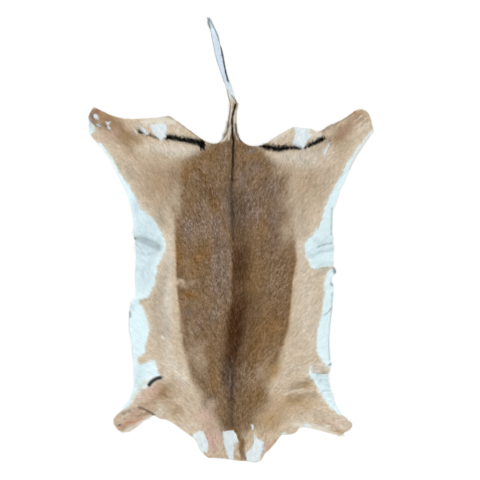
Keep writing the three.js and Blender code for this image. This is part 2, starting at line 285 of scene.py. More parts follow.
# x, y, reach, rise of the broad swells between the folds
SWELLS = [
    (-170, -430, 70, 2.2), (160, -440, 75, 2.4), (-225, -90, 55, 2.4), (245, -190, 60, 2.2),
    (-250, 250, 70, 2.2), (270, 200, 70, 2.2), (-270, -300, 45, 2.6), (290, 110, 45, 2),
]
# troughs and small ridges in the upper face alone: line, reach, rise
CREASES = {
    "left flank, hollow": ([(-270, 2), (-240, -6), (-205, -18)], 13, -2.0),
    "left flank, under the hollow": ([(-272, -8), (-260, -20), (-252, -38)], 7, -1.0),
    "left flank, overlap": ([(-275, -170), (-256, -168), (-238, -169)], 6, -1.8),
    "left armpit, slit": ([(-232, -410), (-222, -400), (-210, -394), (-199, -392)], 6, -2.4),
    "left foreleg, crease": ([(-262, -476), (-243, -484), (-219, -496)], 7, -2.6),
    "left foreleg, low line": ([(-296, -514), (-277, -506), (-256, -494)], 6, -1.2),
    "right flank, dark line": ([(287, -8), (267, -11), (247, -20), (234, -27)], 6, -2.0),
    "right flank, soft band": ([(290, -31), (262, -33), (233, -44)], 8, -1.0),
    "right flank, tan crease": ([(241, -82), (253, -79), (276, -75)], 6, -1.8),
    "right belly, diagonal": ([(262, -214), (276, -205), (289, -192)], 6, -1.2),
    "right armpit, first line": ([(250, -381), (264, -381), (279, -383)], 6, -2.2),
    "right armpit, second line": ([(250, -399), (261, -395), (275, -399)], 6, -2.0),
    "right armpit, third line": ([(258, -431), (273, -428), (286, -431)], 6, -1.8),
    "right shoulder, wrinkle": ([(150, -414), (190, -402), (226, -406)], 8, -1.2),
    "right shoulder, ridge": ([(152, -428), (192, -418), (232, -420)], 9, 1.0),
    "right foreleg, long crease": ([(206, -492), (262, -494), (318, -520)], 7, -1.0),
    "tail, kink": ([(2, 414), (12, 400), (20, 390)], 6, -1.6),
}


def lift(x, y):
    """Height of the flesh side above the ground."""
    z = np.zeros(x.shape)
    for line, half, rise in FOLDS.values():
        z += rise * soft_step(1 - to_line(x, y, line) / half)
    for sx, sy, reach, rise in SWELLS:
        z += rise * soft_step(1 - np.hypot(x - sx, y - sy) / reach)
    return z


def creased(x, y):
    z = np.zeros(x.shape)
    for line, half, rise in CREASES.values():
        z += rise * soft_step(1 - to_line(x, y, line) / half)
    return z


print(len(FOLDS), "folds,", len(SWELLS), "swells and", len(CREASES), "fine creases")

# %% [markdown]
# ## Markings
# The coat has its own map: a brown saddle down the back with a crisp edge along the flanks, white belly
# hair on both sides, a black bar on each haunch, a black line down the spine. Where the hair has slipped
# off, the bare skin shows, pale and a little blue. Each mark is a short list of points in millimetres.
# A painted picture would fix them at one size; kept as areas and lines they stay sharp at any distance,
# and each hair can ask which mark it is rooted in.
# %% White belly
WHITE = {
    "left side": [
        (-371, 277), (-360, 263), (-346, 246), (-331, 223), (-320, 200), (-306, 177), (-289, 154),
        (-277, 134), (-260, 97), (-252, 86), (-236, 74), (-220, 58), (-209, 42), (-199, 24),
        (-195, 15), (-188, 3), (-185, -14), (-189, -34), (-195, -51), (-203, -62), (-212, -74),
        (-209, -91), (-215, -102), (-215, -114), (-220, -128), (-227, -148), (-232, -156),
        (-239, -165), (-260, -170), (-262, -178), (-252, -188), (-246, -202), (-240, -219),
        (-235, -236), (-232, -260), (-237, -276), (-240, -287), (-246, -319), (-253, -326),
        (-266, -336), (-266, -344), (-260, -350), (-253, -353), (-243, -349), (-229, -342),
        (-217, -342), (-216, -353), (-207, -373), (-202, -383), (-196, -389), (-207, -395),
        (-217, -401), (-226, -408), (-234, -415), (-246, -421), (-259, -433), (-273, -451), (-286, -467),
        (-297, -481), (-330, -481), (-430, -300), (-430, 277)],
    "right side": [
        (398, 311), (384, 294), (361, 263), (344, 240), (330, 220), (321, 197), (313, 183),
        (304, 171), (298, 157), (283, 132), (270, 100), (261, 74), (259, 57), (253, 43), (250, 35),
        (241, 30), (236, 23), (231, 12), (221, 5), (209, -10), (210, -34), (220, -54), (224, -68),
        (231, -79), (241, -84), (258, -78), (276, -75), (287, -74), (286, -81), (278, -85),
        (273, -94), (265, -119), (265, -160), (260, -199), (256, -216), (250, -233), (247, -260),
        (243, -282), (244, -316), (251, -330), (258, -344), (267, -352), (271, -359), (280, -366),
        (276, -380), (258, -380), (244, -381), (236, -376), (229, -360), (224, -373), (221, -383),
        (230, -393), (239, -404), (252, -430), (259, -446), (270, -461), (281, -476), (296, -488),
        (304, -495), (321, -501), (420, -480), (420, 311)],
    "left hind tip": [
        (-412, 347), (-404, 343), (-398, 333), (-391, 323), (-388, 315), (-391, 307), (-398, 301),
        (-412, 297)],
    "tail": [(-90, 650), (-90, 480), (-6, 428), (-3, 402), (8, 404), (16, 420), (-10, 480),
             (-20, 520), (-40, 650)],
}
print(len(WHITE), "white areas")

# %% [markdown]
# The saddle is one area, but its edge is not the same all round: hair lies over it in a crisp line
# along the flanks and fades over a hand's breadth at the rump. So a few places along the edge say how
# wide the change is there. Soft ovals then brown or thin the saddle where its edge isn't a plain line.
# %% Saddle
SADDLE = [
    (-75, 262), (-105, 245), (-140, 222), (-170, 188), (-170, 154), (-167, 120), (-165, 86),
    (-161, 40), (-158, -20), (-156, -62), (-155, -105), (-153, -148), (-147, -193), (-145, -256),
    (-138, -302), (-128, -335), (-121, -365), (-113, -396), (-92, -427), (-66, -461), (-49, -495),
    (-27, -530), (20, -545), (53, -530), (76, -495), (103, -461), (105, -427), (112, -391),
    (129, -357), (142, -319), (152, -285), (162, -253), (170, -179), (176, -108), (182, -79),
    (186, -51), (180, 3), (174, 50), (169, 86), (163, 120), (160, 154), (163, 190), (117, 228),
    (84, 262), (42, 276), (25, 300), (5, 310), (-15, 300), (-49, 282)]
# x, y, width of the saddle's edge there
SADDLE_EDGE = [
    (-170, 180, 130), (-165, 110, 66), (-160, 30, 14), (-155, -120, 10), (-145, -250, 13),
    (-128, -345, 30), (-96, -420, 34), (-60, -475, 76), (10, -560, 70), (80, -500, 100),
    (105, -440, 60), (128, -375, 30), (156, -290, 17), (175, -150, 10), (184, -50, 10),
    (178, 20, 40), (168, 90, 84), (155, 180, 120), (105, 230, 66), (60, 280, 14), (0, 310, 14),
    (-60, 275, 14), (-96, 254, 50), (-120, 236, 110), (-150, 210, 130),
]
# x, y, reach along, reach across, turn, strength
BROWNED = [
    (30, -590, 90, 18, -70, 0.85), (88, -470, 90, 60, -40, 0.15), (92, -530, 50, 24, -70, 0.18),
    (-56, -492, 64, 38, 100, 0.18), (-112, -455, 46, 28, 60, 0.3), (8, -530, 80, 60, 90, 0.75),
    (60, -525, 34, 28, 0, 0.45), (-150, 190, 80, 40, 80, 0.15), (-82, -462, 44, 30, 60, 0.35),
]
WORN = [
    (-122, -122, 56, 22, 0, 0.35), (-148, -119, 22, 13, 0, 0.8), (-142, -255, 100, 18, 86, 0.4),
    (-128, 20, 50, 16, 90, 0.10), (-70, -500, 40, 40, 0, 0.2), (150, 70, 90, 30, 85, 0.25),
    (-150, 120, 130, 28, 90, 0.45), (126, 110, 130, 36, 88, 0.25), (-112, 120, 40, 24, 90, 0.2),
    (-112, 8, 36, 22, 90, 0.35), (-112, -256, 50, 20, 90, 0.25), (160, 20, 56, 24, 90, 0.35),
    (88, -385, 66, 50, 80, 0.4), (127, -292, 44, 26, 80, 0.25), (161, -153, 40, 16, 88, 0.25),
    (-9, 257, 30, 14, 90, 0.3), (108, -345, 90, 30, 72, 0.35), (-78, -305, 60, 26, 90, 0.3),
    (150, 0, 80, 36, 90, 0.3), (-112, -190, 110, 26, 90, 0.15), (30, 290, 20, 14, 90, 0.5),
    (-14, 290, 20, 14, 90, 0.5), (136, -320, 60, 20, 70, 0.2), (-106, -325, 90, 44, 100, 0.4),
    (-80, -375, 80, 40, 100, 0.28), (-45, -462, 44, 30, 60, 0.42), (124, 190, 44, 28, 0, 0.25),
]
print(len(SADDLE), "points round the saddle,", len(BROWNED) + len(WORN), "ovals on it")

# %% [markdown]
# A black bar crosses each haunch. Skin is bare where the hair has slipped: on the haunches, at the tips
# of the hind legs and in three tongues along the cut neck. The marks are short closed rings of points.
# %% Bars and bare skin
STRIPES = {
    "left haunch, tail end": [
        (-195, 291), (-183, 300), (-160, 297), (-146, 294), (-118, 290), (-89, 286), (-80, 285),
        (-74, 279), (-73, 268), (-76, 259), (-84, 259), (-90, 266), (-97, 271), (-118, 276),
        (-146, 281), (-160, 283), (-183, 287)],
    "left haunch, leg end": [
        (-241, 303), (-224, 299), (-210, 294), (-203, 288), (-214, 291), (-228, 296), (-240, 299)],
    "left haunch, spot": [(-263, 314), (-253, 309), (-248, 303), (-254, 302), (-263, 308)],
    "right haunch": [
        (80, 268), (96, 273), (125, 268), (153, 270), (182, 267), (207, 265), (221, 274), (239, 283),
        (250, 291), (266, 294), (269, 287), (250, 277), (230, 268), (210, 261), (196, 258),
        (167, 259), (139, 252), (110, 256), (90, 261)],
}
BARE = {
    "left haunch": [
        (-233, 328), (-217, 330), (-203, 334), (-184, 330), (-181, 311), (-187, 294), (-192, 288),
        (-198, 280), (-203, 287), (-212, 294), (-220, 303), (-226, 314)],
    "left haunch, slit": [
        (-257, 322), (-249, 322), (-240, 311), (-234, 299), (-240, 300), (-249, 307), (-257, 314)],
    "left haunch, outer slit": [
        (-281, 319), (-277, 320), (-270, 310), (-265, 300), (-269, 301), (-275, 310)],
    "left hind tip": [(-391, 360), (-383, 358), (-376, 348), (-378, 344), (-386, 347), (-391, 352)],
    "left hind leg, scratch": [(-384, 335), (-377, 332), (-368, 321), (-376, 324)],
    "left hind leg, nick": [
        (-357, 338), (-350, 336), (-343, 339), (-345, 331), (-350, 330), (-339, 309), (-350, 320),
        (-354, 330)],
    "right haunch": [
        (176, 330), (213, 330), (227, 315), (219, 302), (230, 300), (232, 297), (219, 288),
        (213, 274), (207, 263), (204, 257), (199, 264), (187, 267), (172, 275), (179, 291),
        (182, 305)],
    "right haunch, slit": [
        (280, 282), (285, 278), (278, 265), (271, 251), (266, 241), (260, 244), (268, 257),
        (276, 271)],
    "neck, left": [
        (-108, -552), (-101, -550), (-89, -542), (-78, -544), (-76, -552), (-71, -564), (-65, -575),
        (-64, -587), (-65, -598), (-66, -608), (-76, -605), (-84, -615), (-98, -592), (-112, -567)],
    "neck, middle": [
        (-24, -544), (-18, -545), (-9, -542), (6, -541), (11, -547), (16, -555), (19, -564),
        (21, -575), (9, -582), (8, -604), (6, -636), (-4, -636), (-7, -618), (-14, -605),
        (-18, -590), (-22, -572), (-24, -558)],
    "neck, right": [
        (66, -551), (75, -564), (85, -572), (97, -575), (89, -588), (93, -594), (105, -591),
        (93, -598), (87, -608), (82, -621), (80, -638), (45, -638), (43, -607), (56, -595),
        (64, -581), (67, -564)],
    "neck, small hole": [(56, -524), (62, -525), (66, -533), (62, -541), (59, -540), (59, -533)],
    "right throat": [(206, -524), (221, -523), (224, -536), (207, -538)],
    "right throat, low": [(143, -548), (156, -547), (159, -560), (143, -560)],
}


def deepest(x, y, areas):
    """The distance inside the area a point is deepest in."""
    most = np.full(x.shape, -FAR)
    for area in areas.values():
        most = np.maximum(most, inside_by(x, y, area))
    return most


print(len(STRIPES), "bars,", len(BARE), "bare places")

# %% [markdown]
# ## Shades of the coat
# Between its markings a coat is never one brown. Light falls on hair that leans this way or that, the
# sun has bleached some of it, and the skin under the legs was less exposed. A painter would lay soft
# patches of a few colours over a middle tone. That is what this table does: each row is a soft oval,
# with its middle, its two reaches, its turn in degrees and its strength, under the name of the colour
# that it brings. An even oval looks painted, so the ground under the ovals is first bent a little by a
# smooth random field. Places and strengths were set by hand, over several rounds of comparing measured
# colours of the photograph and of the render. The colours are mixed later, in the material.
# %% Soft patches of colour
PATCHES = {
    "cream": [
        (-175, 257, 138, 34, -4, 0.95), (-130, 243, 60, 24, 0, 0.5), (196, 230, 118, 42, 10, 0.98),
        (250, 222, 60, 26, 20, 0.4), (-180, -200, 310, 30, 90, 0.95), (-146, -381, 66, 34, 116, 0.9),
        (-212, -190, 190, 42, 90, 0.4), (198, -8, 60, 14, 85, 0.5), (196, -50, 60, 16, 90, 0.6),
        (148, -385, 60, 22, 50, 0.4), (220, -180, 270, 52, 90, 0.55), (182, 229, 100, 34, 6, 0.75),
        (-180, 255, 80, 24, 0, 0.4), (-140, 322, 50, 26, 10, 0.7), (-243, 331, 36, 24, 0, 0.8),
        (139, 296, 50, 24, 15, 0.95), (258, 262, 40, 22, 20, 0.5), (370, 262, 70, 18, 57, 0.8),
        (330, 205, 50, 14, 60, 0.6), (242, 30, 34, 18, 40, 0.5), (-215, -495, 54, 18, 35, 0.8),
        (-283, -532, 44, 14, 28, 0.8), (225, -529, 80, 16, -5, 0.95), (272, -534, 60, 15, -12, 0.95),
        (336, -526, 50, 32, -40, 0.3), (-292, -494, 50, 16, 30, 0.2), (232, -372, 44, 24, 60, 0.5),
        (-186, 340, 60, 14, 0, 0.9), (330, -522, 50, 26, -30, 0.5), (262, -500, 80, 26, -14, 0.5),
        (262, -531, 44, 14, -14, 0.95), (322, -530, 34, 14, -36, 0.5), (-300, -504, 60, 18, 30, 0.5),
        (255, -362, 44, 22, 60, 0.8), (-246, 100, 60, 18, -60, 0.6), (-222, 52, 34, 16, -60, 0.8),
        (-112, -530, 50, 26, 30, 0.5), (-250, 60, 60, 18, 60, 0.3), (390, 325, 34, 10, 70, 0.7),
        (-203, -350, 30, 20, 60, 0.5), (-178, -345, 50, 26, 110, 0.6), (230, -375, 80, 30, -10, 0.6),
        (185, -480, 60, 24, -20, 0.55), (214, -498, 40, 16, 0, 0.5), (234, 290, 26, 18, 20, 0.8),
        (270, -84, 40, 12, 0, 0.7), (-317, -530, 20, 12, 30, 0.5),
    ],
    "ash": [
        (-205, -165, 60, 34, 80, 0.55), (-200, -250, 90, 30, 90, 0.6), (-180, -258, 34, 18, 90, 0.45),
        (-222, -215, 130, 20, 90, 0.15), (-240, 40, 90, 16, 60, 0.25), (-184, -325, 60, 26, 70, 0.1),
        (-190, -100, 60, 24, 80, 0.4), (-215, -120, 34, 20, 90, 0.4), (150, 250, 80, 16, 0, 0.1),
        (258, 150, 80, 40, 60, 0.2), (196, 250, 60, 20, 5, 0.1), (-283, 190, 80, 26, -60, 0.5),
        (255, 262, 50, 24, 15, 0.35), (-345, 325, 90, 40, -36, 0.85), (-225, -385, 40, 20, 30, 0.5),
        (-197, 72, 70, 36, 80, 0.6), (196, 60, 80, 40, 90, 0.4), (-150, 90, 60, 20, 90, 0.3),
    ],
    "fawn": [
        (-203, 168, 124, 90, 90, 0.66), (-330, 296, 70, 28, -38, 0.55), (-60, -530, 40, 24, 60, 0.4),
        (-317, 314, 92, 38, -38, 1.0), (-280, 292, 60, 34, -14, 0.8), (-350, 335, 64, 34, -38, 1.0),
        (-388, 352, 40, 34, -40, 0.9), (-335, 325, 60, 24, -38, 0.5), (213, 160, 120, 84, 80, 0.44),
        (322, 314, 84, 34, 44, 1.0), (300, 290, 44, 26, 30, 0.5), (366, 352, 40, 26, 40, 0.7),
        (318, 262, 60, 26, 50, 0.4), (-192, -436, 72, 50, 30, 1.0), (-150, -482, 54, 32, -30, 0.65),
        (-289, -501, 72, 28, 25, 0.2), (-235, -470, 52, 26, 20, 0.4), (-222, -195, 120, 16, 90, 0.2),
        (-215, -375, 40, 22, 40, 0.2), (-290, 262, 90, 30, -50, 0.45), (-282, -508, 60, 26, 28, 0.15),
    ],
    "honey": [
        (173, -465, 112, 50, 0, 0.68), (250, -500, 92, 22, -10, 0.2), (105, -510, 76, 62, 0, 0.75),
        (212, -412, 62, 30, 20, 0.55), (122, -372, 64, 40, 70, 0.8), (-290, -505, 60, 24, 25, 0.3),
        (150, 210, 60, 30, 0, 0.3), (-122, 225, 50, 24, 10, 0.6), (110, -350, 80, 32, 75, 0.6),
        (127, -292, 44, 26, 80, 0.5),
    ],
    "blush": [
        (-58, -570, 62, 46, 80, 0.9), (-75, -500, 62, 48, 0, 0.6), (-345, 296, 52, 26, 45, 0.5),
        (-225, -425, 60, 40, 45, 0.4), (330, 318, 50, 26, 40, 0.3), (95, -590, 50, 26, 30, 0.5),
        (120, -480, 60, 30, 0, 0.2), (-240, -450, 70, 40, 30, 0.3), (-392, 368, 30, 18, -20, 0.5),
        (300, -520, 70, 30, -12, 0.2), (-280, -506, 70, 30, 26, 0.5),
    ],
    "rust": [
        (-316, -534, 36, 10, 25, 0.4), (306, -543, 26, 7, -32, 0.5), (282, -526, 46, 6, -30, 0.25),
        (-292, -526, 44, 8, 32, 0.6), (-264, -506, 40, 7, 34, 0.35), (30, -622, 50, 8, 0, 0.5),
        (-50, -616, 40, 8, 0, 0.4), (-388, 368, 28, 10, -30, 0.5), (112, -584, 50, 10, 45, 0.4),
        (-340, 352, 60, 8, -20, 0.4), (352, 362, 34, 12, 20, 0.4),
    ],
    "gold": [
        (-129, 187, 70, 40, 60, 0.45), (-60, 100, 60, 26, 90, 0.1), (-81, -39, 54, 36, 60, 0.5),
        (-146, -45, 72, 17, 90, 0.75), (-118, -159, 50, 22, 0, 0.7), (95, -255, 120, 66, 78, 0.4),
        (132, -250, 90, 32, 85, 0.3), (93, -370, 70, 50, 80, 0.2), (76, -441, 76, 52, 60, 0.35),
        (-55, -400, 76, 34, 80, 0.25), (60, -110, 110, 44, 90, 0.4), (-60, 235, 60, 34, 0, 0.25),
        (110, -490, 70, 40, 0, 0.12), (60, 245, 50, 24, 0, 0.3), (-100, -80, 60, 34, 90, 0.35),
        (-70, -300, 110, 30, 90, 0.1), (-30, -392, 50, 30, 80, 0.4), (62, -340, 110, 30, 85, 0.4),
        (100, 30, 80, 40, 90, 0.3), (20, -570, 70, 30, -70, 0.5),
    ],
    # mauve: painted sheen, a grey veil where light falls on the saddle's leaning hair
    "mauve_sheen": [
        (-32, -85, 175, 36, 90, 0.64), (-46, 43, 60, 34, 90, 0.5), (-118, 29, 70, 28, 90, 0.75),
        (48, 100, 110, 76, 90, 0.55), (-9, 114, 105, 34, 90, 0.5), (-9, -376, 40, 30, 90, 0.4),
        (126, -4, 90, 44, 90, 0.3), (127, 150, 60, 28, 90, 0.5), (34, 172, 50, 24, 90, 0.5),
        (-12, -5, 50, 14, 90, 0.6), (-9, -150, 70, 12, 90, 0.5), (-50, -215, 50, 26, 90, 0.5),
        (60, 205, 60, 40, 0, 0.5), (-85, -230, 70, 26, 90, 0.4), (-70, -470, 50, 34, 60, 0.6),
        (-20, 225, 50, 30, 90, 0.3), (-118, -205, 34, 14, 0, 0.5), (-82, 60, 120, 30, 90, 0.45),
        (124, 60, 100, 34, 84, 0.5), (-10, -400, 60, 46, 90, 0.4), (59, 257, 30, 18, 0, 0.8),
        (104, 150, 60, 30, 90, 0.4), (60, -376, 70, 36, 70, 0.25), (-90, 190, 60, 30, 60, 0.3),
        (0, 60, 70, 30, 90, 0.3),
    ],
    "umber": [
        (36, 90, 110, 56, 90, 0.42), (-40, 140, 60, 30, 90, 0.25), (64, -200, 130, 34, 90, 0.3),
        (-20, -390, 40, 20, 80, 0.5), (58, -320, 110, 24, 85, 0.35), (-66, 143, 70, 40, -60, 0.3),
        (157, -70, 60, 18, 90, 0.08), (100, 100, 60, 28, 90, 0.2), (127, -205, 60, 28, 85, 0.15),
        (-146, -62, 60, 16, 90, 0.25), (-118, -160, 44, 18, 0, 0.3), (-118, -140, 44, 10, 0, 0.2),
        (20, -560, 80, 24, -75, 0.15), (-40, 250, 50, 26, 0, 0.15), (-125, -225, 50, 26, 80, 0.25),
        (70, -250, 60, 14, 40, 0.15),
    ],
    "frost": [
        (-38, -90, 190, 50, 90, 0.6), (-60, 60, 100, 64, 90, 0.8), (62, 100, 120, 84, 90, 0.55),
        (-60, 160, 80, 60, 110, 0.5), (-120, -120, 50, 15, 0, 1.0), (-112, -180, 44, 14, 0, 0.7),
        (-104, -270, 80, 46, 90, 0.8), (130, -100, 90, 50, 70, 0.5), (60, -390, 90, 60, 60, 0.5),
        (-84, -410, 70, 40, 90, 0.5), (-118, 30, 80, 30, 90, 0.8), (127, 150, 60, 34, 90, 0.6),
        (-50, -215, 60, 34, 90, 0.6), (0, -400, 80, 60, 90, 0.5),
    ],
    "lilac": [(-42, 540, 150, 40, 106, 1.0), (-24, 470, 80, 30, 106, 0.8)],
    "slate": [
        (-245, 10, 130, 60, 90, 0.9), (-250, -90, 90, 46, 88, 0.75), (-262, -385, 60, 34, 75, 0.4),
        (262, 10, 90, 60, 90, 0.1), (268, -420, 60, 34, -60, 0.02), (-270, 110, 60, 24, 70, 0.6),
        (-400, 330, 30, 18, 80, 0.8), (-268, -455, 40, 20, 50, 0.3), (-283, -190, 24, 14, 90, 0.6),
    ],
}


def patched(x, y, rows):
    """All the patches of one colour, laid over each other like washes of paint."""
    left = np.ones(x.shape)
    for row in rows:
        left *= 1 - row[5] * oval(x, y, row)
    return 1 - left


print({name: len(rows) for name, rows in PATCHES.items()})

# %% [markdown]
# ## Dark lines
# The spine carries a black line that starts at the tail and fades into the back. There are also small
# dark things that are not coat at all: painted shade in the slit at the left armpit, in the creases of
# the legs and flanks and in the wrinkles of the right armpit, and real specks on the cut edge. Brown
# painted shadows lie in the folds of the haired parts, and pale streaks show where the hair has parted.
# Each is a line with a width and a strength, soft on both sides.
# %% Spine line and back
# line, half width, strength
SPINE = {
    "black line on the tail": ([(12, 386), (7, 366), (3, 340), (4, 300), (7, 283)], 3.8, 1.0),
    "black line on the rump": ([(7, 290), (6, 251), (5, 214)], 4.0, 0.95),
    "fading on the loin": ([(5, 214), (3, 172)], 4.6, 0.75),
    "dark line on the loin": ([(3, 172), (0, 140), (4, 100), (4, 60), (6, 0)], 5.6, 0.42),
    "soft line on the withers": ([(-2, -340), (0, -352), (4, -385), (1, -450)], 5, 0.45),
    "dark nape": ([(-2, -450), (2, -527)], 9, 0.3),
    "tail, black edge": ([(-29.5, 556), (-25, 528), (-20, 500), (-14.5, 474), (-7.5, 452)], 2.5, 0.95),
    "tail root, left wisps": ([(-6, 332), (-10, 310), (-21, 292), (-30, 284)], 3.0, 0.6),
    "tail root, right wisps": ([(13, 330), (15, 306), (22, 291), (31, 280)], 3.4, 0.8),
}
# the dark band on the back, a row every 34 mm or so, judged from the photograph's brightness there:
# y, left border, its softness, right border, its softness, strength
BACK = [
    (215, -14, 16, 18, 16, 0.10), (165, -12, 16, 14, 16, 0.25), (131, -16, 18, 14, 18, 0.34),
    (97, -9, 12, 24, 30, 0.36), (63, -8, 14, 34, 40, 0.36), (29, -4, 12, 44, 46, 0.40),
    (-5, 1, 10, 60, 44, 0.46), (-40, 2, 8, 60, 46, 0.60), (-74, 3, 8, 58, 50, 0.74),
    (-108, 2, 9, 52, 50, 0.66), (-142, 2, 9, 50, 44, 0.50), (-176, 1, 12, 58, 44, 0.66),
    (-210, -9, 28, 46, 60, 0.93), (-245, -13, 38, 44, 64, 0.97), (-279, -14, 42, 38, 60, 0.98),
    (-313, -19, 42, 32, 56, 0.84), (-347, -26, 36, 32, 50, 0.74), (-381, -26, 34, 26, 50, 0.66),
    (-416, -20, 34, 24, 40, 0.58), (-450, -14, 32, 22, 36, 0.52), (-484, -14, 28, 19, 30, 0.36),
    (-518, -26, 24, 13, 24, 0.28), (-560, -26, 24, 13, 24, 0.10),
]
TAWNY = {
    "rump, long streak": ([(-98, 214), (-75, 171), (-52, 123), (-38, 86)], 6, 0.5),
    "rump, short streak": ([(-84, 190), (-66, 176)], 6, 0.5),
    "rump, streak on the right": ([(40, 224), (34, 190)], 6, 0.5),
    "withers, streak": ([(-62, -290), (-58, -330)], 6, 0.15),
}
print(len(SPINE), "stretches of spine line,", len(BACK), "rows of the dark band")

# %% [markdown]
# The small dark things and the painted shade of creases and hollows come next, then the brown painted
# shadows and the pale streaks. Every line has a name, so that the one to change is easily found.
# %% Slits, shadows and pale streaks
# line, half width, strength
# real dark marks, and painted shade in slits, creases, hollows and wrinkles
DARK_MARKS_AND_SHADE = {
    # painted shade in the slit at the left armpit
    "left armpit, slit": (
        [(-233, -412), (-228, -405), (-219, -398), (-209, -393), (-200, -391)], 7, 1.0),
    "left flank, spot": ([(-277, 7), (-274, 5)], 5, 0.6),
    # painted shade in the hollow of the left flank and in the crease under it
    "left flank, hollow": ([(-262, 4), (-240, -4), (-205, -19)], 12, 0.3),
    "left flank, under the hollow": ([(-272, -8), (-260, -20), (-255, -28), (-250, -39)], 3, 0.2),
    "left edge, specks": ([(-288, -205), (-287, -219)], 3.5, 0.6),
    # painted shade in the fold of the right flank
    "right flank, dark line": ([(286, -8), (276, -9), (267, -11), (258, -15), (247, -20)], 4, 0.38),
    "right flank, soft band": ([(290, -29), (267, -31), (247, -35)], 5, 0.07),
    # painted shade in a crease of the right belly and in the wrinkles of the right armpit
    "right belly, diagonal": ([(264, -213), (276, -205), (287, -193)], 3, 0.3),
    "right armpit, first line": ([(236, -376), (250, -381), (264, -379), (282, -380)], 2.4, 0.35),
    "right armpit, second line": ([(250, -387), (264, -386), (280, -386)], 2.0, 0.18),
    "right armpit, third line": ([(250, -399), (261, -394), (273, -397)], 2.6, 0.2),
    "right armpit, fourth line": ([(261, -430), (273, -428), (284, -430)], 2.6, 0.22),
    "right armpit, shade": ([(262, -404), (276, -410), (284, -420)], 8, 0.05),
    "right edge, upper specks": ([(290, -79), (296, -91)], 4, 0.7),
    "right edge, speck": ([(285, -125), (287, -128)], 4, 0.6),
    "right edge, low speck": ([(279, -355), (285, -352)], 3.5, 0.6),
    "right edge, high line": ([(287, 92), (286, 57), (285, 15)], 3, 0.3),
    "right belly, rim": ([(288, -150), (283, -230), (277, -300), (280, -340)], 2.5, 0.25),
    "left belly, rim": ([(-291, -210), (-291, -259), (-283, -293), (-279, -345)], 2.5, 0.25),
    # the tail's darker edges: partly its own dark hair, partly painted shade of the round roll; painted
    # shade in its kink
    "tail, tip": ([(-65, 632), (-62, 618), (-60, 606)], 3.4, 0.6),
    "tail, right edge of the tip": ([(-60, 628), (-48, 604), (-36, 576), (-32, 562)], 2.2, 0.6),
    "tail, left edge of the tip": ([(-65, 622), (-58, 590), (-52, 560)], 2.2, 0.5),
    "tail, left edge": ([(-52, 560), (-46, 532), (-36, 498), (-20, 452), (-10, 410)], 2.0, 0.4),
    "tail, kink": ([(2, 412), (12, 398), (19, 388)], 2.4, 0.6),
    "tail, left of the kink": ([(-10, 410), (-3, 386), (-3, 365), (-6, 345), (-10, 322)], 2.4, 0.6),
    "right hind leg, end of the bar": ([(281, 292), (282, 275)], 4, 0.35),
    "left haunch, end of the bar": ([(-262, 313), (-256, 306)], 4, 0.5),
    "left hind tip, specks": ([(-399, 341), (-391, 334), (-385, 324)], 2.6, 0.6),
}
SHADOW = {
    "left foreleg, crease": ([(-264, -477), (-246, -483), (-232, -490), (-219, -497)], 5, 0.65),
    "left foreleg, mouth of the crease": ([(-238, -488), (-222, -496)], 8, 0.2),
    "left foreleg, patch": ([(-307, -492), (-299, -487), (-290, -485)], 6, 0.45),
    "left foreleg, low line": ([(-298, -516), (-278, -508), (-258, -498), (-243, -494)], 4, 0.2),
    "left foreleg, spot": ([(-319, -527), (-315, -525)], 3.4, 0.7),
    "left foreleg, low edge": ([(-322, -540), (-305, -533), (-288, -524)], 5, 0.1),
    "left armpit, brown streak": ([(-239, -395), (-226, -388), (-212, -387)], 4, 0.5),
    "left flank, overlap": ([(-276, -171), (-257, -168), (-240, -168)], 4, 0.4),
    "left hind leg, nick": ([(-366, 330), (-350, 322), (-342, 310)], 4, 0.4),
    "left haunch, fold of the rim": ([(-184, 349), (-190, 338), (-189, 330)], 2.6, 0.4),
    "left haunch, cut edge": (
        [(-206, 347), (-176, 351), (-132, 322), (-103, 300), (-81, 284)], 2.2, 0.4),
    "left hind leg, tip": ([(-398, 352), (-386, 338), (-372, 322)], 5, 0.5),
    "left hind leg, end": ([(-400, 350), (-391, 366), (-378, 369)], 9, 0.5),
    "right flank, tan crease": ([(241, -82), (253, -79), (264, -77), (276, -75)], 4, 0.6),
    "right haunch, first streak": ([(176, 228), (181, 214)], 3.4, 0.3),
    "right haunch, second streak": ([(158, 240), (163, 228)], 3, 0.3),
    "right haunch, third streak": ([(196, 240), (204, 226)], 3, 0.25),
    "right hind leg, top edge": ([(300, 334), (330, 350), (352, 366)], 4, 0.4),
    "right hind leg, shade": ([(262, 312), (280, 326), (300, 336)], 9, 0.35),
    "right shoulder, under the wrinkle": ([(166, -452), (196, -446), (236, -440)], 11, 0.3),
    "right shoulder, over the wrinkle": ([(176, -420), (206, -412), (232, -396)], 12, 0.25),
    "right foreleg, streak": ([(252, -508), (290, -528), (318, -545)], 3, 0.12),
    "left shoulder, freckle": ([(-187, -441), (-185, -443)], 6, 0.35),
}
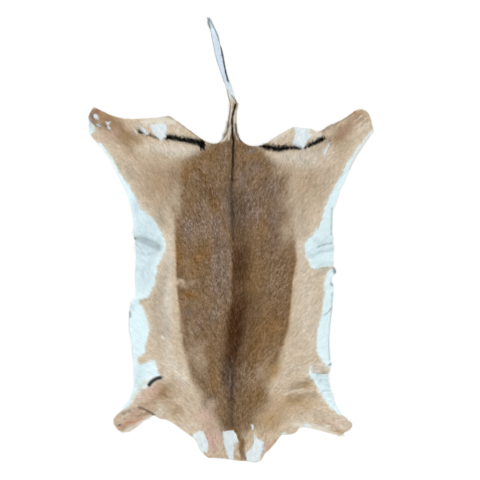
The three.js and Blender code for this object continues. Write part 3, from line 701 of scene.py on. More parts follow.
CHALK = {
    "right shoulder, wrinkle": ([(150, -441), (164, -433), (182, -429), (206, -424)], 3.4, 0.6),
    "right shoulder, second wrinkle": ([(190, -436), (214, -430), (232, -428)], 3, 0.3),
    "left flank, nick": ([(-196, -273), (-193, -280)], 4, 0.95),
    "left armpit, white hairs": ([(-238, -398), (-251, -413), (-264, -432), (-284, -458)], 5, 0.7),
    "left armpit, upper hairs": ([(-238, -404), (-222, -391), (-204, -386)], 3.4, 0.7),
    "left foreleg, fringe": ([(-298, -544), (-280, -535), (-250, -514), (-228, -502)], 5, 0.8),
    "right foreleg, pale band": (
        [(182, -525), (228, -530), (258, -537), (282, -549), (300, -555)], 7, 0.75),
    "right hind leg, pale band": ([(402, 312), (376, 276), (352, 238), (336, 206)], 3.6, 0.6),
    "right hind leg, first tip streak": ([(350, 336), (374, 356)], 2.6, 0.5),
    "right hind leg, second tip streak": ([(356, 322), (386, 348)], 2.6, 0.5),
    "right hind leg, third tip streak": ([(366, 312), (392, 336)], 3.0, 0.5),
    "tail root, white fluff": ([(-28, 281), (-20, 288), (-12, 296)], 4, 0.8),
    "tail root, beige strip, left": ([(0, 372), (-4, 340), (-4, 312), (-7, 288)], 4, 0.75),
    "tail root, beige strip, right": ([(13, 370), (11, 340), (13, 312), (18, 290)], 4, 0.6),
    "left haunch, top rim": ([(-240, 338), (-214, 342), (-184, 343), (-162, 336)], 8, 0.8),
    "left haunch, torn edge": ([(-212, 335), (-196, 333), (-180, 330)], 4, 0.6),
    "left haunch, strokes": ([(-262, 330), (-250, 318), (-243, 305)], 4, 0.35),
    "right haunch, left of the bare place": ([(122, 290), (148, 306), (170, 322)], 8, 0.7),
    "right haunch, right of the bare place": ([(226, 300), (240, 306), (252, 300)], 8, 0.7),
    "right haunch, fold beside the bare place": ([(214, 322), (228, 312), (240, 318)], 5, 0.6),
    "left shoulder, first stroke": ([(-136, -470), (-128, -488), (-120, -498)], 4, 0.3),
    "left shoulder, second stroke": ([(-150, -496), (-138, -512)], 4, 0.3),
    "neck, pale edge": ([(-96, -596), (-104, -578), (-118, -562)], 4, 0.4),
}
print(len(DARK_MARKS_AND_SHADE), "dark lines,", len(SHADOW), "brown shadows,", len(CHALK), "pale streaks")

# %% [markdown]
# The dark band on the back is read from its table row by row, from the rump to the nape. It is a warm
# brown in the middle and turns to a cool black at both ends. A line's mark is full in its middle and
# ends softly a third of its width outside it.
# %% Read the lines
COOL_RUMP, RUMP_FADE = 60, 80  # mm along the spine
COOL_NAPE, NAPE_FADE, NAPE_WARMTH = -420, 110, 0.35
LINE_EDGE = 1.35  # half widths


def back_band(x, y):
    """The dark band, and how warm its brown is."""
    rows = np.array(BACK[::-1], float)
    left, soft_left, right, soft_right, strength = (
        np.interp(y, rows[:, 0], rows[:, k]) for k in range(1, 6))
    band = strength * soft_step(0.5 + (x - left) / soft_left) * soft_step(0.5 + (right - x) / soft_right)
    nape = NAPE_WARMTH + (1 - NAPE_WARMTH) * soft_step((y - COOL_NAPE) / NAPE_FADE)
    return band, soft_step((COOL_RUMP - y) / RUMP_FADE) * nape


def lined(x, y, lines):
    left = np.ones(x.shape)
    for line, half, strength in lines.values():
        left *= 1 - strength * soft_step(LINE_EDGE - to_line(x, y, line) / half)
    return 1 - left


here = back_band(np.array([10.0]), np.array([-250.0]))
print("the band at the middle of the back:", [round(float(v[0]), 2) for v in here])

# %% [markdown]
# ## Which way the hair lies
# Hair points from head to tail, and from the spine out to the belly and down each leg. A few arrows say
# so, each with a place and an angle counted from the right. Between the arrows the direction is a
# weighted mean, in which near arrows count most. The same directions also drag out a fine random grain
# into short streaks, as a brush would, so that neighbouring hairs share a shade.
# %% Comb the flow
# x, y, angle in degrees
ARROWS = [
    (4, 280, 92), (4, 180, 90), (4, 60, 90), (4, -80, 90), (4, -220, 90), (4, -360, 90), (4, -520, 90),
    (80, 200, 68), (80, 60, 64), (90, -80, 60), (90, -220, 58), (80, -360, 52), (60, -470, 66),
    (-80, 200, 112), (-80, 60, 116), (-90, -80, 120), (-90, -220, 122), (-80, -360, 128),
    (-60, -470, 114), (170, 120, 58), (180, -60, 50), (190, -220, 46), (190, -340, 38),
    (-170, 120, 122), (-180, -60, 130), (-190, -220, 134), (-190, -340, 142), (260, -60, 46),
    (260, -240, 48), (-260, -60, 134), (-260, -240, 136), (130, 240, 62), (210, 250, 56),
    (210, 300, 60), (-130, 250, 118), (-210, 250, 124), (-210, 310, 118), (290, 220, 48),
    (330, 280, 42), (375, 330, 38), (-290, 230, 132), (-330, 290, 140), (-385, 330, 146),
    (150, -430, 24), (230, -420, 14), (200, -480, 2), (270, -510, -10), (320, -530, -14),
    (-150, -430, 150), (-220, -440, 178), (-210, -485, 196), (-270, -515, 210), (-315, -530, 214),
    (120, -520, 60), (-110, -530, 118), (60, -590, 84), (-60, -590, 96), (0, -600, 90),
    (6, 340, 88), (10, 385, 96), (-3, 430, 108), (-20, 480, 110), (-38, 535, 108), (-52, 585, 106),
    (-62, 625, 104),
]
ARROW_REACH, ARROW_FALL = 52, 0.7


def flow_at(x, y):
    fx, fy = np.zeros(x.shape), np.zeros(x.shape)
    for ax, ay, angle in ARROWS:
        weight = np.exp(-(((x - ax) ** 2 + (y - ay) ** 2) / (2 * ARROW_REACH ** 2)) ** ARROW_FALL)
        fx += weight * math.cos(math.radians(angle))
        fy += weight * math.sin(math.radians(angle))
    size = np.hypot(fx, fy) + 1e-12
    return fx / size, fy / size


print(len(ARROWS), "arrows; the hair at the left hind leg points to",
      [round(float(v), 2) for v in flow_at(np.float64(-330), np.float64(290))])

# %% [markdown]
# Noise dragged along the hair needs a chart: a square grid over the ground, a random number in each of
# its cells, and a walk of a few steps up and down the flow from each cell that adds up what it meets. A
# fine chart gives streaks, a broader one the mottling, and the broadest one bends the soft ovals.
# %% Drag the grain along the flow
GROUND = (430, 670)  # mm, half the width and half the length of the charts


class Chart:
    """A coarse chart of the ground under the hide, to drag noise along the hair on."""

    def __init__(self, cell):
        self.cell = cell
        self.x, self.y = (np.arange(-half, half, cell) for half in GROUND)
        self.grid_x, self.grid_y = np.meshgrid(self.x, self.y)
        self.fx, self.fy = flow_at(self.grid_x, self.grid_y)

    def sample(self, values, x, y):
        u = np.clip((x - self.x[0]) / self.cell, 0, len(self.x) - 1.001)
        v = np.clip((y - self.y[0]) / self.cell, 0, len(self.y) - 1.001)
        i, j = u.astype(int), v.astype(int)
        u, v = u - i, v - j
        return ((values[j, i] * (1 - u) + values[j, i + 1] * u) * (1 - v)
                + (values[j + 1, i] * (1 - u) + values[j + 1, i + 1] * u) * v)

    def combed(self, seed, steps):
        """Random numbers smeared along the flow, with mean 0 and spread 1."""
        noise = np.random.default_rng(seed).standard_normal(self.grid_x.shape)
        total = noise.copy()
        for way in (1, -1):
            x, y = self.grid_x.copy(), self.grid_y.copy()
            for _ in range(steps):
                x = x + way * self.cell * self.sample(self.fx, x, y)
                y = y + way * self.cell * self.sample(self.fy, x, y)
                total += self.sample(noise, x, y)
        return (total - total.mean()) / total.std()


fine_chart, broad_chart, bend_chart = Chart(1.9), Chart(7.0), Chart(19.0)
DRAG = 2  # steps each way
streaks = fine_chart.combed(SEED, DRAG)
mottle = broad_chart.combed(SEED + 1, DRAG)
bend = [np.random.default_rng(SEED + k).standard_normal(bend_chart.grid_x.shape) for k in (2, 3)]
BEND = 5  # mm


def bent(x, y):
    return (x + BEND * bend_chart.sample(bend[0], x, y), y + BEND * bend_chart.sample(bend[1], x, y))


print("streak chart", streaks.shape, "mottle chart", mottle.shape)

# %% [markdown]
# ## Everything the hair needs to know about a place
# These functions gather the rulers and tables: for any points, one gives the marks. The points of the
# skin ask it, and so does each hair, and the answers travel with the mesh as attributes, for the
# materials to read. The saddle needs a function of its own, because its edge is crisp along the flanks,
# where a golden fringe lies over it, and soft elsewhere.
# %% Marks at a place
EDGE_REACH = 48.0  # mm, how far a row of SADDLE_EDGE is heard
PLAIN_EDGE = 30  # mm, the edge's width where no row is near
FRINGE, FRINGE_END = 15, 150  # mm: half its width, and where it ends towards the tail
CRISP, CRISP_FADE = 34, 20  # mm: edges narrower than this have a fringe
FRINGE_LEFT, FRINGE_RIGHT = 0.35, 0.7
FRINGE_HONEY, FRINGE_GOLD = 0.55, 0.6
TAWNY_BROWN, BAND_BLACK = 0.35, 0.85


def saddle_share(x, y):
    """How much of the saddle's brown is here, and how much of its golden fringe."""
    width, total = 0.0, 1e-9
    for ex, ey, edge in SADDLE_EDGE:
        weight = np.exp(-((x - ex) ** 2 + (y - ey) ** 2) / (2 * EDGE_REACH ** 2))
        width, total = width + weight * edge, total + weight
    width = np.where(total > 1e-6, width / total, PLAIN_EDGE)
    inside = inside_by(x, y, SADDLE)
    share = soft_step(0.5 + inside / width)
    bent_x, bent_y = bent(x, y)
    share = 1 - (1 - share) * (1 - patched(bent_x, bent_y, BROWNED))
    fringe = soft_step(1 - np.abs(inside) / FRINGE) * soft_step((CRISP - width) / CRISP_FADE)
    fringe = fringe * np.where(x < 0, FRINGE_LEFT, FRINGE_RIGHT) * (y < FRINGE_END)
    return share * (1 - patched(bent_x, bent_y, WORN)), fringe


def over(first, second):
    """One share laid over another, as two thin coats of paint are."""
    return 1 - (1 - first) * (1 - second)


def colours_at(x, y):
    bent_x, bent_y = bent(x, y)
    marks = {name: patched(bent_x, bent_y, rows) for name, rows in PATCHES.items()}
    marks["saddle"], fringe = saddle_share(x, y)
    marks["honey"] = over(marks["honey"], FRINGE_HONEY * fringe)
    marks["gold"] = over(over(marks["gold"], FRINGE_GOLD * fringe), lined(x, y, TAWNY))
    band, warmth = back_band(x, y)
    marks["umber"] = over(over(marks["umber"], band * warmth), TAWNY_BROWN * lined(x, y, TAWNY))
    marks["spine"] = over(lined(x, y, SPINE), BAND_BLACK * band * (1 - warmth))
    # real dark marks together with painted shade in creases and hollows
    marks["dark_marks_and_shade"] = lined(x, y, DARK_MARKS_AND_SHADE)
    marks["shadow"] = lined(x, y, SHADOW)
    marks["chalk"] = lined(x, y, CHALK)
    marks["white_mm"] = deepest(x, y, WHITE)
    marks["stripe_mm"] = deepest(x, y, STRIPES)
    marks["bare_mm"] = deepest(x, y, BARE)
    marks["streak"] = fine_chart.sample(streaks, x, y)
    marks["mottle"] = broad_chart.sample(mottle, x, y)
    return marks


test_marks = colours_at(np.array([0.0, -250.0]), np.array([0.0, -240.0]))
print({name: np.round(values, 2).tolist() for name, values in test_marks.items()})

# %% [markdown]
# Hair isn't equally long everywhere: short on the saddle and the legs, longer on the white belly, worn
# away in the groin and gone where skin is bare. Near the cut edge it is shortened, so that the outline
# stays the one the knife drew. One function says so, and the tree that grows the hair reads its answers.
# %% How the hair grows
HAIR_LENGTH = 11  # mm, before the changes below
SADDLE_LESS, LEGS_LESS, BELLY_MORE, GROIN_LESS = 2, 1.5, 4, 4
AT_THE_EDGE, PER_MM_INWARD = 3.2, 0.8
SLIT = [
    (-243, -420), (-238, -398), (-222, -386), (-196, -382), (-190, -396), (-206, -408), (-220, -424)]


def growth_at(x, y, marks):
    """How much hair grows at a point, how long it is and which way it lies."""
    fx, fy = flow_at(x, y)
    on_tail = soft_step((y - 300) / 40) * (np.abs(x) < 80)
    white = soft_step(0.5 + marks["white_mm"] / 6)
    near_bare = soft_step(1 + marks["bare_mm"] / 14)
    groin = white * np.clip(marks["slate"] * 1.5, 0, 1) * (1 - on_tail)
    cover = (1 - soft_step(0.5 + marks["bare_mm"] / 3)) * (1 - 0.85 * groin)
    cover *= 1 - soft_step(0.5 + inside_by(x, y, SLIT) / 4)
    legs = soft_step((np.abs(x) - 230) / 80) * soft_step((np.abs(y) - 200) / 60)
    reach = (HAIR_LENGTH - SADDLE_LESS * marks["saddle"] - LEGS_LESS * legs
             + BELLY_MORE * white * (1 - groin) - GROIN_LESS * groin)
    reach *= 1 - 0.4 * near_bare
    to_edge = np.maximum(inside_by(x, y, rough_outline), 0)
    reach = np.minimum(reach, AT_THE_EDGE + PER_MM_INWARD * to_edge)
    return cover, reach, np.stack([fx, fy, np.zeros(x.shape)], axis=1)


test_growth = growth_at(np.array([0.0, -250.0]), np.array([0.0, -240.0]), test_marks)
print("on the back and on the belly, cover:", np.round(test_growth[0], 2), "reach:",
      np.round(test_growth[1], 1), "mm")

# %% [markdown]
# ## The skin
# The sheet is one closed body: an upper face under the hair, a flesh side that rests on the ground and
# the cut edge between them. Points are scattered in a honeycomb inside the outline and joined by
# Delaunay triangles, which follow any border. The upper face needs small triangles, because the marks
# ride on its points; the flesh side is plain, so its triangles are larger.
# %% Scatter points and join them
UPPER_GAP, LOWER_GAP = 3.25, 7.0
KEEP_OFF = 0.62  # gaps between the outline and the first point inside it


def honeycomb(gap):
    row = gap * math.sin(math.pi / 3)
    x, y = np.meshgrid(np.arange(-420, 420, gap), np.arange(-645, 645, row))
    x[1::2] += gap / 2
    x, y = x.ravel(), y.ravel()
    near = inside_by(x, y, rough_outline) > gap * KEEP_OFF
    return np.stack([x[near], y[near]], axis=1)


def join(border, inner):
    """Triangles over the border and inner points, none of them outside the border."""
    points = np.vstack([border, inner])
    n = len(border)
    edges = [(i, (i + 1) % n) for i in range(n)]
    found = delaunay_2d_cdt([Vector(p) for p in points], edges, [], 1, 1e-5)
    places = np.array([tuple(v) for v in found[0]])
    faces = np.array([f for f in found[2] if len(f) == 3])
    assert len(places) == len(points)
    a, b, c = places[faces[:, 0]], places[faces[:, 1]], places[faces[:, 2]]
    turn = (b[:, 0] - a[:, 0]) * (c[:, 1] - a[:, 1]) - (b[:, 1] - a[:, 1]) * (c[:, 0] - a[:, 0])
    faces[turn < 0] = faces[turn < 0][:, ::-1]
    return places, faces


upper, upper_faces = join(ring, honeycomb(UPPER_GAP))
lower, lower_faces = join(ring, honeycomb(LOWER_GAP))
print(len(upper_faces), "upper triangles,", len(lower_faces), "lower triangles")

# %% [markdown]
# The upper face stands one skin and a little underfur above the flesh side, thinner at the cut edge and
# in the bare places, and thick on the tail, which is a round roll. The creases are pressed into it, and
# the streaks and the mottling give it a slight grain.
# %% Give the sheet its height
SKIN, UNDERFUR, TAIL_CORE = 1.3, 0.9, 4.6  # mm thick
RIM, RIM_REACH, LEAST = 1.0, 7.0, 0.7
STREAK_RISE, MOTTLE_RISE = 0.10, 0.12


def upper_height(x, y, marks):
    edge = inside_by(x, y, rough_outline)
    grown = np.sin(np.pi / 2 * np.clip(edge / RIM_REACH, 0, 1))
    on_tail = soft_step((y - 292) / 30) * (np.abs(x) < 75)
    fur = UNDERFUR * (1 - soft_step(0.5 + marks["bare_mm"] / 4))
    full = SKIN + fur + (TAIL_CORE - UNDERFUR) * on_tail
    folds = creased(x, y)
    grain = STREAK_RISE * marks["streak"] + MOTTLE_RISE * marks["mottle"]
    return lift(x, y) + np.maximum(RIM + (full - RIM) * grown + folds * grown + grain * grown, LEAST)


upper_marks = colours_at(upper[:, 0], upper[:, 1])
upper_cover, upper_reach, upper_flow = growth_at(upper[:, 0], upper[:, 1], upper_marks)
upper_z = upper_height(upper[:, 0], upper[:, 1], upper_marks)
lower_z = lift(lower[:, 0], lower[:, 1])
print("upper face", round(upper_z.min(), 2), "to", round(upper_z.max(), 2), "mm above the ground")

# %% [markdown]
# Now the three parts become one closed mesh. The cut edge is a strip of triangles between the two
# rings. The marks go on the points as attributes, and the faces below the hair get their own finish.
# %% Make the skin
n_ring, n_upper = len(ring), len(upper)
vertices = np.vstack([np.column_stack([upper, upper_z]), np.column_stack([lower, lower_z])]) * MM
here = np.arange(n_ring)
after = np.roll(here, -1)
# the outline runs clockwise, so these triangles face outwards
wall = np.vstack([np.column_stack([here, after, after + n_upper]),
                  np.column_stack([here, after + n_upper, here + n_upper])])
faces = np.vstack([upper_faces, lower_faces[:, ::-1] + n_upper, wall])


def mesh_from(name, places, triangles):
    mesh = bpy.data.meshes.new(name)
    mesh.vertices.add(len(places))
    mesh.vertices.foreach_set("co", np.asarray(places, np.float32).ravel())
    mesh.loops.add(triangles.size)
    mesh.loops.foreach_set("vertex_index", np.asarray(triangles, np.int32).ravel())
    mesh.polygons.add(len(triangles))
    mesh.polygons.foreach_set("loop_start", np.arange(0, triangles.size, 3, dtype=np.int32))
    mesh.update(calc_edges=True)
    mesh.validate()
    return mesh


def carry(mesh, name, values, kind="FLOAT"):
    layer = mesh.attributes.new(name, kind, "POINT")
    key = "vector" if kind == "FLOAT_VECTOR" else "value"
    layer.data.foreach_set(key, np.asarray(values, np.float32).ravel())


skin_mesh = mesh_from("hide_skin", vertices, faces)
for name, values in upper_marks.items():
    carry(skin_mesh, name, np.concatenate([values, np.zeros(len(lower))]))
part_of = np.concatenate([np.zeros(len(upper_faces)), np.ones(len(lower_faces) + len(wall))])
skin_mesh.polygons.foreach_set("material_index", part_of.astype(np.int32))
skin_mesh.polygons.foreach_set("use_smooth", np.ones(len(faces), bool))
skin = bpy.data.objects.new("hide_skin", skin_mesh)
scene.collection.objects.link(skin)
print("skin:", len(skin_mesh.vertices), "points,", len(skin_mesh.polygons), "triangles, top at",
      round(float(vertices[:, 2].max()) * 1000, 2), "mm")

# %% [markdown]
# The materials will be baked for other programs, and that needs a flat map of the sheet. A hide is flat
# already, so its map is simply a view from above: hair side on the left, flesh side on the right, and
# the cut edge folded out a little way round the hair side.
# %% Lay out the sheet's map
MAP_SIDE = 1.68
MAP_LEFT, MAP_RIGHT, MAP_LOW = 0.42, 1.26, 0.66
EDGE_ON_MAP = 0.003


def lay_out_sheet(mesh):
    corner_vertex = np.empty(len(mesh.loops), np.int32)
    mesh.loops.foreach_get("vertex_index", corner_vertex)
    place = vertices[corner_vertex][:, :2].copy()
    side = np.repeat(np.concatenate([np.zeros(len(upper_faces)), np.ones(len(lower_faces)),
                                     np.full(len(wall), 2)]), 3)
    outer = (side == 2) & (corner_vertex >= n_upper)
    ahead, behind = np.roll(ring, -1, axis=0), np.roll(ring, 1, axis=0)
    out = np.column_stack([-(ahead - behind)[:, 1], (ahead - behind)[:, 0]])
    out /= np.linalg.norm(out, axis=1)[:, None]
    place[outer] += out[corner_vertex[outer] - n_upper] * EDGE_ON_MAP
    u = np.where(side == 1, MAP_RIGHT - place[:, 0], MAP_LEFT + place[:, 0]) / MAP_SIDE
    v = (place[:, 1] + MAP_LOW) / MAP_SIDE
    layer = mesh.uv_layers.new(name="OFBake")
    layer.uv.foreach_set("vector", np.column_stack([u, v]).astype(np.float32).ravel())


lay_out_sheet(skin_mesh)
print("map of the sheet laid out on", len(skin_mesh.loops), "corners")

# %% [markdown]
# ## Mixing the colours
# One group of shader nodes knows the whole coat: it starts from a sandy middle tone and lays the other
# colours over it, each by its own mark. Hair and underfur both use it, each with its own raggedness, so
# that the hairs of a white belly really start where the white skin starts. A group keeps that in one
# place; painting it twice would soon drift apart. The tones were judged from mean colours measured in
# the photograph, and some of them are very close to such a mean.
# %% Colours of the coat
COLOURS = {
    "sand": "#D2C1A9", "cream": "#DAD1C2", "ash": "#AB9D8B", "fawn": "#A18462", "honey": "#B4925F",
    # mauve is painted sheen on the saddle
    "blush": "#D0B0A1", "rust": "#B4794A", "cocoa": "#81674A", "gold": "#8E6732", "mauve_sheen": "#7D6C60",
    "umber": "#45290C", "frost": "#B8A99C", "lilac": "#D7E4F1", "white": "#E8F8FB", "slate": "#C3D5DC",
    "black": "#080605", "bare": "#D5DEE1", "dark_marks_and_shade": "#34383A", "spine": "#1E1714", "shadow": "#5E4730",
    # the grey-black of real dark marks and of painted crease shade
    "chalk": "#E9E4D6",
}
print(len(COLOURS), "colours")

# %% [markdown]
# Trees of nodes are long when each node is written out. A few helpers keep them readable: one adds a
# node and feeds it, one does a sum, one mixes two colours and one is a soft threshold.
# %% Helpers for node trees


def colour(code):
    parts = [int(code[i:i + 2], 16) / 255 for i in (1, 3, 5)]
    return [p / 12.92 if p <= 0.04045 else ((p + 0.055) / 1.055) ** 2.4 for p in parts] + [1.0]


def add(tree, kind, *feeds, out=0, **settings):
    """Adds a node, sets it up, feeds its visible inputs in order and returns one of its outputs."""
    node = tree.nodes.new(kind)
    for key, value in settings.items():
        setattr(node, key, value)
    shown = [s for s in node.inputs if s.enabled and not s.is_unavailable]
    for socket, feed in zip(shown, feeds):
        if isinstance(feed, bpy.types.NodeSocket):
            tree.links.new(feed, socket)
        elif feed is not None:
            socket.default_value = feed
    outputs = [s for s in node.outputs if s.enabled and not s.is_unavailable]
    if not outputs:
        return node
    return outputs[out] if isinstance(out, int) else node.outputs[out]


def reckon(tree, operation, *feeds):
    return add(tree, "ShaderNodeMath", *feeds, operation=operation)


def blend(tree, share, under, over, way="MIX"):
    node = tree.nodes.new("ShaderNodeMix")
    node.data_type, node.blend_type = "RGBA", way
    for key, feed in ((0, share), (6, under), (7, over)):
        if isinstance(feed, bpy.types.NodeSocket):
            tree.links.new(feed, node.inputs[key])
        else:
            node.inputs[key].default_value = feed
    return node.outputs[2]


def ramp(tree, value, low, high):
    """0 below low, 1 above high, soft in between."""
    node = tree.nodes.new("ShaderNodeMapRange")
    node.interpolation_type = "SMOOTHSTEP"
    tree.links.new(value, node.inputs[0])
    node.inputs[1].default_value, node.inputs[2].default_value = low, high
    return node.outputs[0]


print("sand is", [round(v, 3) for v in colour(COLOURS["sand"])])

# %% [markdown]
# The order of the washes matters: soft tints first, then the saddle and what lies in it, then white,
# which covers them all, and black last. "Ragged" moves the border of a mark in or out by a few
# millimetres, a different amount for each hair, which is what makes a border of hair look like one.
# %% The coat colour group
FLOAT, RGB = "NodeSocketFloat", "NodeSocketColor"
MARKS = [*PATCHES, "saddle", "spine", "dark_marks_and_shade", "shadow", "chalk", "white_mm", "stripe_mm", "bare_mm",
         "streak", "mottle"]
coat = bpy.data.node_groups.new("coat colour", "ShaderNodeTree")
for name in [*MARKS, "ragged", "lightness"]:
    coat.interface.new_socket(name=name, in_out="INPUT", socket_type=FLOAT)
coat.interface.new_socket(name="Color", in_out="OUTPUT", socket_type=RGB)
coat_in, coat_out = coat.nodes.new("NodeGroupInput"), coat.nodes.new("NodeGroupOutput")
mark = {s.name: s for s in coat_in.outputs}

# how far "ragged" moves a border, where the mark begins and where it is full
BORDERS = {
    "saddle": (0.10, 0.08, 0.92), "tufts": (0.09, -0.05, 0.95), "frost": (0.7, 0.15, 0.75),
    "white": (3.0, -1.5, 2.0), "black": (3.6, -2.8, 0.2), "bare": (2.2, -1.0, 1.0),
}


def times_plus(value, factor, more):
    return reckon(coat, "MULTIPLY_ADD", value, factor, more)


def border(name, value):
    """The share of a mark, its border moved by the hair's own raggedness."""
    wander, begins, full = BORDERS[name]
    return ramp(coat, times_plus(mark["ragged"], wander, value), begins, full)


def wash(under, share, name):
    return blend(coat, share, under, colour(COLOURS[name]))


def dimmed(under, red, green, blue):
    return blend(coat, 1.0, under, add(coat, "ShaderNodeCombineColor", red, green, blue), way="MULTIPLY")


print(len(coat_in.outputs) - 1, "inputs")

# %% [markdown]
# Tints and saddle come first. Each hair also has its own lightness, which counts more on the saddle than
# on the light coat. As it gets darker, green and blue fall faster than red, so that a dark strand turns
# brown before it turns grey.
# %% Tints and saddle
TUFT_MOTTLE = 0.04
FROST_STREAK, FROST_MOST, FROST_LEAST = 0.35, 0.34, 0.07
# how much each kind of unevenness shows on the light coat, and how much more on the saddle
OWN_TONE, STREAK_TONE, MOTTLE_TONE = (0.32, 0.68), (0.075, 0.04), (0.03, 0.045)
GREEN_DROP, BLUE_DROP = 1.08, 1.25  # green and blue fall faster than red

shade = colour(COLOURS["sand"])
for name in ("cream", "ash", "fawn", "honey", "blush", "rust"):
    shade = wash(shade, mark[name], name)
saddle = border("saddle", mark["saddle"])
shade = wash(shade, saddle, "cocoa")
# mauve is painted sheen: a grey veil of light over the saddle's hair
for name in ("gold", "mauve_sheen", "umber"):
    tufted = border("tufts", times_plus(mark["mottle"], TUFT_MOTTLE, mark[name]))
    shade = wash(shade, reckon(coat, "MULTIPLY", tufted, saddle), name)
frosted = border("frost", reckon(coat, "MULTIPLY", mark["streak"], FROST_STREAK))
frosted = reckon(coat, "MULTIPLY", frosted, saddle)
frosted = reckon(coat, "MULTIPLY", frosted, times_plus(mark["frost"], FROST_MOST, FROST_LEAST))
shade = wash(shade, frosted, "frost")
shade = wash(shade, mark["shadow"], "shadow")
own_tone = reckon(coat, "SUBTRACT", mark["lightness"], 1.0)
uneven = 1.0
for source, (light, more) in ((own_tone, OWN_TONE), (mark["streak"], STREAK_TONE),
                              (mark["mottle"], MOTTLE_TONE)):
    uneven = times_plus(source, times_plus(saddle, more, light), uneven)
shade = dimmed(shade, uneven, times_plus(uneven, GREEN_DROP, 1 - GREEN_DROP),
               times_plus(uneven, BLUE_DROP, 1 - BLUE_DROP))
print("tints and saddle:", len(coat.nodes), "nodes")

# %% [markdown]
# The white belly is nearly even, a little greyer where the hair is thin. Just outside it the tan coat
# has some pale hairs already. Black bars, bare skin, the dark marks with their painted crease shade and
# the spine line come last.
# %% White, black and bare skin
NEAR_WHITE, NEAR_WHITE_SHARE = -18.0, 0.35
CLOUD, PALE_STREAK, PALE_TONE, SKIN_STREAK = 0.30, 0.025, 0.12, 0.07

white = border("white", mark["white_mm"])
near_white = times_plus(mark["ragged"], BORDERS["white"][0], mark["white_mm"])
near_white = ramp(coat, near_white, NEAR_WHITE, BORDERS["white"][2])
near_white = reckon(coat, "MULTIPLY", near_white, NEAR_WHITE_SHARE)
near_white = reckon(coat, "MULTIPLY", near_white, reckon(coat, "SUBTRACT", 1.0, saddle))
shade = wash(shade, near_white, "chalk")
clouds = times_plus(mark["streak"], CLOUD, 1.0)
pale = wash(colour(COLOURS["white"]), reckon(coat, "MULTIPLY", clouds, mark["slate"]), "slate")
pale = wash(pale, mark["lilac"], "lilac")
pale_uneven = times_plus(own_tone, PALE_TONE, times_plus(mark["streak"], PALE_STREAK, 1.0))
shade = blend(coat, white, shade, dimmed(pale, pale_uneven, pale_uneven, pale_uneven))
shade = wash(shade, mark["chalk"], "chalk")
shade = wash(shade, border("black", mark["stripe_mm"]), "black")
grain = times_plus(mark["streak"], SKIN_STREAK, 1.0)
shade = blend(coat, border("bare", mark["bare_mm"]), shade,
              dimmed(colour(COLOURS["bare"]), grain, grain, grain))
# dark marks, with painted shade in creases, hollows, wrinkles and along the tail's edges
shade = wash(shade, mark["dark_marks_and_shade"], "dark_marks_and_shade")
shade = wash(shade, mark["spine"], "spine")
coat.links.new(shade, coat_out.inputs["Color"])
print("coat colour group:", len(coat.nodes), "nodes")

# %% [markdown]
# ## Three finishes
# Underfur is what shows between the hairs and in the bare places: dull, with a fine grain. It takes its
# colour from the coat group. A speckle of noise makes its borders ragged and its tone uneven, and
# raises it a little, as a bump.
# %% Underfur
SPECKLES_PER_METRE, SPECKLE_RAGGED = 420.0, 3.0
SPECKLE_TONE, DARKEST_UNDERFUR = 0.5, 0.72


def new_material(name, roughness, gloss):
    material = bpy.data.materials.new(name)
    material.use_nodes = True
    tree = material.node_tree
    body = tree.nodes["Principled BSDF"]
    body.inputs["Roughness"].default_value = roughness
    body.inputs["Specular IOR Level"].default_value = gloss
    return material, tree, body


def noise(tree, size, detail, roughness):
    place = add(tree, "ShaderNodeTexCoord", out="Object")
    return add(tree, "ShaderNodeTexNoise", place, size, detail, roughness, out="Fac")


def bumped(tree, body, height, strength, distance):
    bump = tree.nodes.new("ShaderNodeBump")
    bump.inputs["Strength"].default_value = strength
    bump.inputs["Distance"].default_value = distance
    tree.links.new(height, bump.inputs["Height"])
    tree.links.new(bump.outputs["Normal"], body.inputs["Normal"])


def coat_coloured(tree, body, ragged, lightness):
    """Places the coat group in a material and feeds it the marks of the mesh."""
    node = tree.nodes.new("ShaderNodeGroup")
    node.node_tree = coat
    for name in MARKS:
        reader = tree.nodes.new("ShaderNodeAttribute")
        reader.attribute_name = name
        tree.links.new(reader.outputs["Fac"], node.inputs[name])
    tree.links.new(ragged, node.inputs["ragged"])
    tree.links.new(lightness, node.inputs["lightness"])
    tree.links.new(node.outputs["Color"], body.inputs["Base Color"])


underfur, tree, body = new_material("underfur", roughness=0.85, gloss=0.1)
speckle = noise(tree, SPECKLES_PER_METRE, 3.0, 0.6)
ragged = reckon(tree, "MULTIPLY_ADD", speckle, SPECKLE_RAGGED, -SPECKLE_RAGGED / 2)
lightness = reckon(tree, "MULTIPLY_ADD", speckle, SPECKLE_TONE, DARKEST_UNDERFUR)
coat_coloured(tree, body, ragged, lightness)
bumped(tree, body, speckle, strength=0.35, distance=0.0006)
print("underfur:", len(tree.nodes), "nodes")

# %% [markdown]
# Hair takes its colour from the same group. Its own number makes it lighter or darker than its
# neighbours, and it is darker at the root, where light doesn't reach. The grizzle is a fine noise that
# runs through neighbouring hairs. Impala hair is sleek, but from above a strong gloss would only lay a
# grey veil over the dark saddle, so it has very little.
# %% Hair
DARKEST_HAIR, HAIR_SPREAD = 0.55, 0.90
GRIZZLES_PER_METRE, GRIZZLE, DIMMEST = 210.0, 1.1, 0.2
ROOT_TONE, TIP_MORE = 0.90, 0.22

